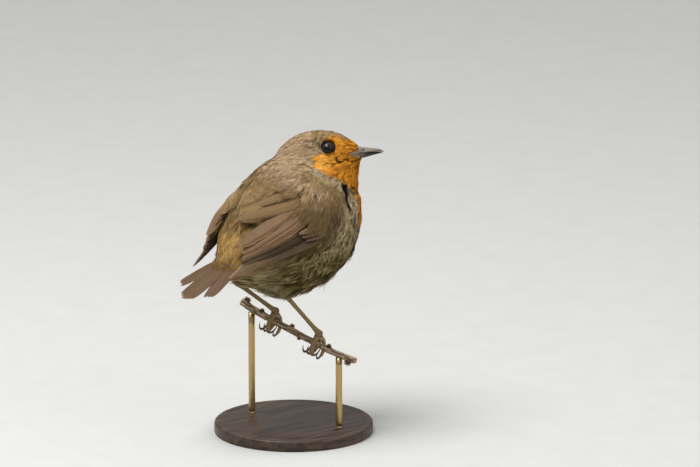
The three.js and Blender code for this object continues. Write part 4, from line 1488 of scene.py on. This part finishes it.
def gape(side):
    """The bare skin from the bill's base back to the corner of the mouth, as a thin swelling on the face."""
    rows, columns, reach = 40, 25, 16
    t, across = np.linspace(0, 1, rows), np.linspace(0, 1, columns)
    top = curve([(20.9, 0, 32.2), (23.0, 0, 32.4), (25.4, 0, 32.5), (27.4, 0, 32.1), (28.8, 0, 31.3)], t)
    bottom = curve([(20.9, 0, 32.0), (22.3, 0, 31.0), (24.6, 0, 29.7), (26.8, 0, 29.1), (28.8, 0, 30.3)], t)
    points = mix(top[:, None], bottom[:, None], across[None, :, None]).reshape(-1, 3)
    t, across = np.repeat(t, columns), np.tile(across, rows)
    aside = vec(0, side, 0)
    inward = (from_head(0 * aside) - from_head(aside)).tolist()
    hits = [skin_tree.ray_cast(p, inward)[3] for p in from_head(points + reach * aside).tolist()]
    skin = np.array([0 if hit is None else reach - hit for hit in hits])
    bill_half = np.interp(points[:, 0], [24, 26, 27.2, 28.8], [0, 2.2, 2.2, 1.5])
    parted = bell(across - 0.43, 0.07)
    lift = 0.1 + 0.45 * np.sin(np.pi * across) ** 0.5 - 0.25 * parted
    lift = lift * smooth(-0.05, 0.15, t) * smooth(1.05, 0.75, t)
    points[:, 1] = side * (np.maximum(skin, bill_half - 0.35) + lift)
    tint = layered(
        HORN_GREY * 0.75,
        (GAPE_PALE, smooth(0.55, 0.0, t) * 0.8),
        (GAPE_PALE, smooth(0.5, 0.62, across) * 0.8),
        (HORN_PALE, bell(across - 0.34, 0.06) * 0.7),
        (HORN_BLACK, parted * 0.95),
        # Painted shade along the gape's upper and lower edges.
        (ORANGE_DARK, np.maximum(smooth(0.1, 0.0, across), smooth(0.92, 1.0, across)) * 0.5),
    )
    count = len(points)
    quads, grid = grid_faces(rows, columns), np.arange(count).reshape(rows, columns)
    rim = np.concatenate([grid[0], grid[1:, -1], grid[-1, -2::-1], grid[-2:0:-1, 0]])
    ahead = np.roll(rim, -1)
    wall = np.stack([rim + count, ahead + count, ahead, rim], 1)
    faces = np.concatenate([quads, quads[:, ::-1] + count, wall])[:, ::-side]
    return np.concatenate([points, points - 0.8 * aside]), faces, np.concatenate([tint, tint])


make_bill()

# ---- Perch ----

PERCH_YAW, PERCH_SLOPE = math.radians(-70), math.radians(17.4)
PERCH_MIDDLE = vec(3.4, 0, -51.7)
PERCH_RADIUS = 1.6
PERCH_START, PERCH_END = -30.0, 34.0
slope_cos, slope_sin = math.cos(PERCH_SLOPE), math.sin(PERCH_SLOPE)
PERCH = about_up(PERCH_YAW) @ np.array([[slope_cos, 0, slope_sin], [0, 1, 0], [-slope_sin, 0, slope_cos]])
# Each side shoot: how far along the twig, its bearing round it in degrees, and its size.
KNOBS = [(-28, 70, 3.0), (-18.5, 100, 2.0), (-2, 75, 2.2), (3.5, 250, 1.6), (19, 95, 2.0), (31, 230, 3.0)]
WHORLS = 5

BARK_PALE = vec(0.46, 0.33, 0.215)
BARK_DARK = vec(0.06, 0.035, 0.02)
BARK_GREEN = vec(0.17, 0.16, 0.08)
CUT_WOOD = vec(0.52, 0.36, 0.20)
SCALE_RED = vec(0.20, 0.075, 0.035)
SCALE_DARK = vec(0.05, 0.022, 0.014)


def on_perch(p):
    """Places from (along, across, above) the twig's axis."""
    return np.asarray(p, float) @ PERCH.T + PERCH_MIDDLE


def twig_centre(at):
    """The twig's middle beside its axis, and its radius, at these places along it."""
    share = (at - PERCH_START + 6) / (PERCH_END - PERCH_START + 12)
    beside = curve([(0.6, 1.2), (0, 0.2), (0, 0), (0, 0), (-0.4, 2.2)], share)
    return beside, curve([1.8, 1.65, 1.6, 1.55, 1.45], share)[:, 0]


def make_twig():
    bark = painted_material("bark", 0.9, (1200, 5000), 0.35, 0.00015, specular=0.2, detail=6.0)
    rows, around = 420, 56
    at = np.linspace(PERCH_START, PERCH_END, rows)
    at, offset, radius = (np.repeat(part, around, axis=0) for part in (at, *twig_centre(at)))
    turn = np.tile(round_turn(around), rows)
    across, above = np.cos(turn), np.sin(turn)
    flat = np.stack([at * 0.2, across * 2.0, above * 2.0], 1)
    coarse = noise(flat, 0.75, 21) - 0.5
    fissure = smooth(0.52, 0.62, noise(flat + vec(9, 3, 1), 0.48, 22))
    fine = noise(flat * vec(3, 1, 1), 0.22, 23) - 0.5
    out = radius * 0.94 + 0.30 * coarse - 0.26 * fissure + 0.10 * fine
    for where, degrees, size in KNOBS:
        round_away = np.angle(np.exp(1j * (turn - math.radians(degrees))))
        out += 0.16 * size * bell(np.hypot(at - where, PERCH_RADIUS * round_away), 0.75 * size)
    local = np.stack([at, offset[:, 0] + out * across, offset[:, 1] + out * above], 1)
    tint = layered(
        BARK_PALE,
        (BARK_DARK, np.clip(fissure * 0.85 + smooth(0.1, -0.3, coarse) * 0.4, 0, 1)),
        (BARK_GREEN, smooth(0.55, 0.75, noise(flat, 2.5, 24)) * 0.4),
        # Painted shade on the twig's underside.
        (BARK_DARK, smooth(0.1, -0.9, above) * 0.5),
    )
    bank = Bank()
    bank.add(on_perch(local), halved(grid_faces(rows, around, closed=True)), tint * (1 + 0.8 * fine)[:, None])
    add_cut_end(bank, local[:around], -1)
    add_cut_end(bank, local[-around:], 1)
    for knob in KNOBS:
        add_spur(bank, *knob)
    points, faces, tint = bank.arrays()
    add_piece("perch_twig_bark", points, faces, bark, "bark", "perch_twig", tint=tint)


def add_cut_end(bank, rim, facing):
    """The sawn end of the twig: pale wood in rings, with a dark pith."""
    rings, around = 9, len(rim)
    middle = rim.mean(0)
    away = np.repeat(np.linspace(1, 0, rings), around)
    points = middle + np.tile(rim - middle, (rings, 1)) * away[:, None]
    wave = np.cos(away * 26)
    points[:, 0] += facing * 0.03 * wave
    dark = np.maximum(smooth(0.86, 0.97, away), smooth(0.14, 0.05, away))
    tint = layered(CUT_WOOD * (0.82 + 0.18 * wave)[:, None], (BARK_DARK, dark))
    bank.add(on_perch(points), halved(grid_faces(rings, around, closed=True))[:, ::-facing], tint)


def add_spur(bank, at, degrees, size):
    """A larch's short side shoot: whorls of small pointed bud scales round a stub."""
    dice = np.random.default_rng(int(at * 10) % 1000)
    angle = math.radians(degrees)
    out, aside = vec(0, math.cos(angle), math.sin(angle)), vec(1, 0, 0)
    other = np.cross(out, aside)
    offset, radius = twig_centre(np.array([float(at)]))
    foot = vec(at, *offset[0]) + out * (radius[0] - 0.25)
    tall = 0.62 * size
    axes = np.stack([aside, other, out])
    points, faces = ball(0, 1, 20, 14)
    stub = foot + out * tall * 0.45 + (points @ axes.T * vec(0.36 * size, 0.36 * size, 0.55 * tall)) @ axes
    bank.add(on_perch(stub), faces, np.tile(SCALE_DARK, (len(stub), 1)))
    steps = np.linspace(0, 1, 5)[:, None]
    half = 0.085 * size * np.sqrt(1 - steps**2) * (0.8 + 0.4 * np.sin(np.pi * steps))
    faces = halved(grid_faces(3, len(steps))[:, [0, 3, 2, 1]])
    for whorl in range(WHORLS):
        share = whorl / (WHORLS - 1)
        count = 11 - whorl
        for k in range(count):
            turn = 2 * math.pi * (k + 0.5 * (whorl % 2) + dice.normal(0, 0.12)) / count
            radial = math.cos(turn) * aside + math.sin(turn) * other
            base = foot + out * tall * (0.05 + 0.72 * share) + radial * size * (0.34 - 0.085 * share)
            way = unit(out * 0.9 + radial * (0.75 - 0.45 * share + dice.normal(0, 0.15)))
            long = size * (0.26 + 0.06 * dice.random())
            line = base + steps * way * long + steps**2 * radial * 0.10 * size
            edge = np.cross(out, radial) * half
            points = np.concatenate([line - edge, line + radial * 0.05 * size, line + edge])
            shade = np.tile(0.35 + 0.8 * steps, (3, 1)) * (0.75 + 0.5 * dice.random())
            tint = mix(SCALE_DARK, mix(SCALE_RED, BARK_PALE, dice.random() * 0.5), shade)
            bank.add(on_perch(points), faces, tint)


make_twig()

# ---- Legs ----

FEET_SPACING, ANKLE_LIFT, ANKLE_RADIUS, TOE_RADIUS, TOE_GAP, TOE_SAG = 24.4, 4.6, 2.0, 0.85, 0.6, 2.4
# Each toe: its bearings round the twig at its start and end, how far aside it lies there, and its radius.
TOES = [
    (120, 265, 0, 0.5, 1.0), (62, -90, -0.9, -2, 0.85), (66, -100, 0, -0.7, 0.95), (62, -88, 0.9, 2.1, 0.85)
]
LEG_BROWN = vec(0.195, 0.122, 0.036)
LEG_DARK = vec(0.055, 0.028, 0.013)
LEG_PALE = vec(0.44, 0.30, 0.15)
CLAW_BROWN = vec(0.075, 0.042, 0.024)
CLAW_PALE = vec(0.26, 0.16, 0.085)
DOME = 0.12  # the share of a limb's length that its rounded ends take up


def tube(path, radii, dorsal, around, steps, shape=None, flat=1.0):
    """A limb along a path. shape(t, turn) swells it by millimetres; turn is 0 on its upper, dorsal side."""
    t, turn = np.linspace(0, 1, steps), round_turn(around)
    line = curve(path, t)
    forward = unit(curve(path, t + 1e-3) - curve(path, t - 1e-3))
    up = tangent(dorsal(line) if callable(dorsal) else dorsal, forward)[:, None]
    aside = np.cross(forward[:, None], up)
    edge = np.minimum(1, np.minimum(t, 1 - t) / DOME)
    cap = np.sqrt(1 - (1 - edge) ** 2)[:, None]
    out = curve(radii, t) * cap
    if shape:
        out = out + shape(t[:, None], turn) * cap
    points = line[:, None] + up * (out * np.cos(turn))[..., None]
    points = points + aside * (flat * out * np.sin(turn))[..., None]
    faces = halved(grid_faces(steps, around, closed=True)[:, ::-1])
    return points.reshape(-1, 3), faces, np.repeat(t, around), np.tile(turn, steps)


def saw(x):
    """Overlapping plates: rises slowly and falls fast, once for each whole number."""
    part = x - np.floor(x)
    return smooth(0, 0.8, part) * smooth(1.0, 0.88, part)


def scutes(t, turn):
    return saw(9.5 * t + 0.15 * np.sin(turn))


def tarsus_skin(t, turn):
    on_front = smooth(-0.2, 0.5, np.cos(turn))
    small = 0.03 * np.sin(60 * t) * np.sin(5 * turn) * (1 - on_front)
    return 0.11 * scutes(t, turn) * on_front + small - 0.05


def toe_skin(t, turn):
    pads = 0.22 * np.abs(np.sin(4.5 * np.pi * t)) * smooth(0.1, -0.6, np.cos(turn))
    return 0.09 * saw(13 * t) * smooth(-0.1, 0.5, np.cos(turn)) + pads - 0.06


def on_ring(foot, degrees, aside, lift=0.0):
    """Places round the twig where a foot's toes lie, the lower the further out."""
    angle = np.radians(degrees)
    reach = PERCH_RADIUS + TOE_RADIUS + TOE_GAP + TOE_SAG * np.maximum(0, -np.sin(angle)) + lift
    at = foot + aside * 2 * TOE_RADIUS
    return on_perch(np.stack(np.broadcast_arrays(at, reach * np.cos(angle), reach * np.sin(angle)), -1))


def away_from_perch(line):
    return unit((line - PERCH_MIDDLE) @ PERCH * vec(0, 1, 1) @ PERCH.T)


def make_leg(name, side):
    foot = -side * FEET_SPACING / 2
    ankle = on_perch(vec(foot, 0.6, ANKLE_LIFT))
    path = [mix(HEELS[name], ankle, share) for share in (-0.14, 0, 0.12, 0.5, 0.86, 1)]
    radii = [1.5, 1.5, 1.12, 0.97, 1.15, 1.95]
    points, faces, t, turn = tube(path, radii, unit(vec(1, 0, 0.3)), 32, 200, tarsus_skin, 0.88)
    plate, front = scutes(t, turn), np.cos(turn)
    tint = layered(
        LEG_BROWN,
        (LEG_PALE, plate * smooth(-0.3, 0.6, front) * 0.35),
        (LEG_DARK, smooth(0.16, 0.0, plate) * smooth(-0.2, 0.5, front) * 0.7),
        (LEG_DARK * 1.6, smooth(0.8, 1.0, t) * 0.5),
    )
    add_piece(f"leg_{name}_tarsus", points, faces, leg_skin, "leg", f"shank_{name}", tint=tint)
    bank = Bank()
    points, faces = ball(0, 1, 64, 48)
    scale = noise(points * 9, 1.0, 31) - 0.5
    points = ankle + points * (ANKLE_RADIUS * vec(0.84, 0.84, 0.9)) * (1 + 0.09 * scale)[:, None]
    bank.add(points, faces, layered(LEG_DARK * 1.5, (LEG_PALE, smooth(-0.1, 0.25, scale) * 0.6)))
    for toe in TOES:
        add_toe(bank, foot, ankle, *toe)
    points, faces, tint = bank.arrays()
    add_piece(f"leg_{name}_toes", points, faces, leg_skin, "leg", f"foot_{name}", tint=tint)
    for number, (start, end, _, aside, _) in enumerate(TOES, 1):
        points, faces, t, _ = claw(foot, start, end, aside)
        tint = layered(CLAW_BROWN, (CLAW_PALE, smooth(0.5, 0.0, t) * 0.5))
        replaced = f"claw_{name}_{number}"
        add_piece(f"leg_{name}_claw_{number}", points, faces, claw_horn, "claw", replaced, tint=tint)


def add_toe(bank, foot, ankle, start, end, from_aside, to_aside, radius):
    share = np.linspace(0, 1, 7)
    ring = on_ring(foot, mix(start, end, share), mix(from_aside, to_aside, share))
    path = np.concatenate([ankle[None], ring])
    radii = radius * (1.45 - 0.62 * np.sqrt(np.arange(len(path)) / len(path)))
    points, faces, t, turn = tube(path, radii, away_from_perch, 24, 120, toe_skin)
    plate, upper = saw(13 * t), smooth(-0.2, 0.4, np.cos(turn))
    tint = layered(
        LEG_BROWN * 0.75,
        (LEG_PALE, plate * upper * 0.4),
        (LEG_DARK, smooth(0.2, 0.0, plate) * upper * 0.8),
        (LEG_PALE, (1 - upper) * 0.65),
    )
    bank.add(points, faces, tint)


def claw(foot, start, end, aside):
    """A curved claw, its root inside the toe's end."""
    share = np.linspace(0, 1, 7)
    degrees = end + np.sign(end - start) * (-9 + 75 * share)
    path = on_ring(foot, degrees, aside * (1 + 0.2 * share**2), 0.55 * np.sin(np.pi * share))
    return tube(path, [0.52, 0.60, 0.56, 0.47, 0.36, 0.24, 0.09], away_from_perch, 16, 72, flat=0.75)


leg_skin = painted_material("leg_skin", 0.45, (1500, 6000), 0.25, 0.00004)
claw_horn = painted_material("claw_horn", 0.3, (2500, 8000), 0.2, 0.00002)
for side_name, side in SIDES.items():
    make_leg(side_name, side)

# ---- Stand ----

BASE_RADIUS, BASE_HEIGHT, BASE_EDGE = 36.0, 5.0, 1.2
ROD_RADIUS, ROD_WAIST = 1.5, 1.29
ROD_PLACES = {"left": -24.0, "right": 25.0}


def turned(profile, around, middle=(0, 0)):
    """A body turned about a vertical axis, from (radius, height above the ground) pairs."""
    turn = round_turn(around)
    r, z = np.array(profile, float).T[..., None]
    parts = np.broadcast_arrays(middle[0] + r * np.cos(turn), middle[1] + r * np.sin(turn), z)
    return np.stack(parts, -1).reshape(-1, 3) - TRUNK, halved(grid_faces(len(profile), around, closed=True))


def quarter_arc(steps):
    return [(math.cos(math.pi / 2 * k / steps), math.sin(math.pi / 2 * k / steps)) for k in range(steps + 1)]


def make_base():
    wood, tree, shader = material("stand_wood", 0.42, 0.4)
    grain = grained(tree, (40, 420, 420), 6.0, 0.6)
    colour = ramp(tree, grain, (0.022, 0.013, 0.008), (0.085, 0.05, 0.03), 0.35, 0.68)
    dress(tree, shader, colour, grain, 0.00006)
    r, top = BASE_RADIUS, BASE_HEIGHT
    rounded = [(r + BASE_EDGE * (c - 1), top + BASE_EDGE * (s - 1)) for c, s in quarter_arc(6)]
    groove = [(r - 3.6, top), (r - 3.9, top - 0.25), (r - 4.3, top - 0.25), (r - 4.6, top)]
    profile = [(0, 0), (20, 0), (r - 0.5, 0), (r, 0.4), (r, 2.2), *rounded, *groove, (18, top), (0, top)]
    add_piece("stand_base_turned", *turned(profile, 180), wood, "stand_wood", "stand_base")


def make_rods():
    brass, tree, shader = material("stand_brass", 0.28, metallic=1.0)
    brushed = grained(tree, (900, 900, 9000), 3.0)
    feed(shader, Roughness=node(tree, "MapRange", brushed, To_Min=0.18, To_Max=0.42))
    dress(tree, shader, ramp(tree, brushed, (0.36, 0.24, 0.09), (0.60, 0.44, 0.20)), brushed, 0.00001)
    r, low = ROD_RADIUS, BASE_HEIGHT
    foot = [(0, low), (r, low), (r, low + 0.3), (ROD_WAIST, low + 0.5), (ROD_WAIST, low + 1.2), (r, low + 1.4)]
    for name, at in ROD_PLACES.items():
        x, y, z = on_perch(vec(at, 0, 0)) + TRUNK
        high = z - PERCH_RADIUS * 0.7
        profile = [*foot, *((r, level) for level in np.linspace(low + 2, high, 9)), (0, high)]
        made = turned(profile, 40, (x, y))
        add_piece(f"stand_rod_{name}_brass", *made, brass, "stand_brass", f"stand_rod_{name}")


make_base()
make_rods()

# ---- Stage, lights and camera ----

CAMERA_AZIMUTH, CAMERA_ELEVATION = math.radians(-38), math.radians(14)
CAMERA_AWAY = 3000
IMAGE_WIDTH_MM = 315
SENSOR_WIDTH = 36
AIM_ASIDE, AIM_DOWN = 27.9, 5.2
camera_right = vec(math.cos(CAMERA_AZIMUTH), math.sin(CAMERA_AZIMUTH), 0)
camera_back = math.cos(CAMERA_ELEVATION) * np.cross(camera_right, UP) + math.sin(CAMERA_ELEVATION) * UP
camera_up = np.cross(camera_back, camera_right)


def aimed(name, data, place, back):
    """Puts a camera or a light at that place, in metres, with its back that way."""
    made = bpy.data.objects.new(name, data)
    made.location = Vector(place)
    made.rotation_mode = "QUATERNION"
    made.rotation_quaternion = Vector(-back).to_track_quat("-Z", "Y")
    bpy.context.scene.collection.objects.link(made)
    return made


def make_camera():
    data = bpy.data.cameras.new("camera")
    data.sensor_width = SENSOR_WIDTH
    data.lens = SENSOR_WIDTH * CAMERA_AWAY / IMAGE_WIDTH_MM
    data.clip_start, data.clip_end = 0.1, 20
    aim = TRUNK + AIM_ASIDE * camera_right - AIM_DOWN * camera_up
    bpy.context.scene.camera = aimed("camera", data, (aim + CAMERA_AWAY * camera_back) * MM, camera_back)


def area_light(name, way, away, size, power):
    """A round light that way from the bird, given as shares to the camera's right, up and back."""
    data = bpy.data.lights.new(name, "AREA")
    data.shape = "DISK"
    data.size = size
    data.energy = power
    way = unit(vec(*way) @ np.stack([camera_right, camera_up, camera_back]))
    aimed(name, data, TRUNK * MM + way * away, way)


def make_stage():
    """A pale floor that turns up into a low pale wall, far out all round."""
    flat, bend = 4600.0, 1100.0
    wall = [(flat + bend * s, bend * (1 - c)) for c, s in quarter_arc(12)]
    points, faces = turned([(20, 0), (150, 0), (600, 0), (2000, 0), *wall], 120)
    floor = new_object("floor", points - UP * 0.05, faces)
    made, tree, shader = material("floor", 0.9, 0.2)
    grain = node(tree, "TexNoise", node(tree, "TexCoord", out="Object"), Scale=60, Detail=4.0)
    dress(tree, shader, ramp(tree, grain, (0.50, 0.50, 0.485), (0.55, 0.55, 0.535)))
    floor.data.materials.append(made)


def make_world():
    """A soft studio: brighter above than below."""
    world = bpy.data.worlds.new("studio")
    world.use_nodes = True
    tree = world.node_tree
    high = node(tree, "SeparateXYZ", node(tree, "TexCoord", out="Generated"), out="Z")
    colour = ramp(tree, high, (0.20, 0.20, 0.19), (1, 1, 1), 0.0, 0.9)
    feed(tree.nodes["Background"], Color=colour, Strength=0.9)
    bpy.context.scene.world = world


make_camera()
make_stage()
make_world()
area_light("key", (-0.35, 0.9, 0.45), 1.1, 0.7, 14)
area_light("fill", (0.9, 0.5, 0.8), 1.3, 0.9, 2.5)
bpy.context.scene.view_settings.view_transform = "Standard"
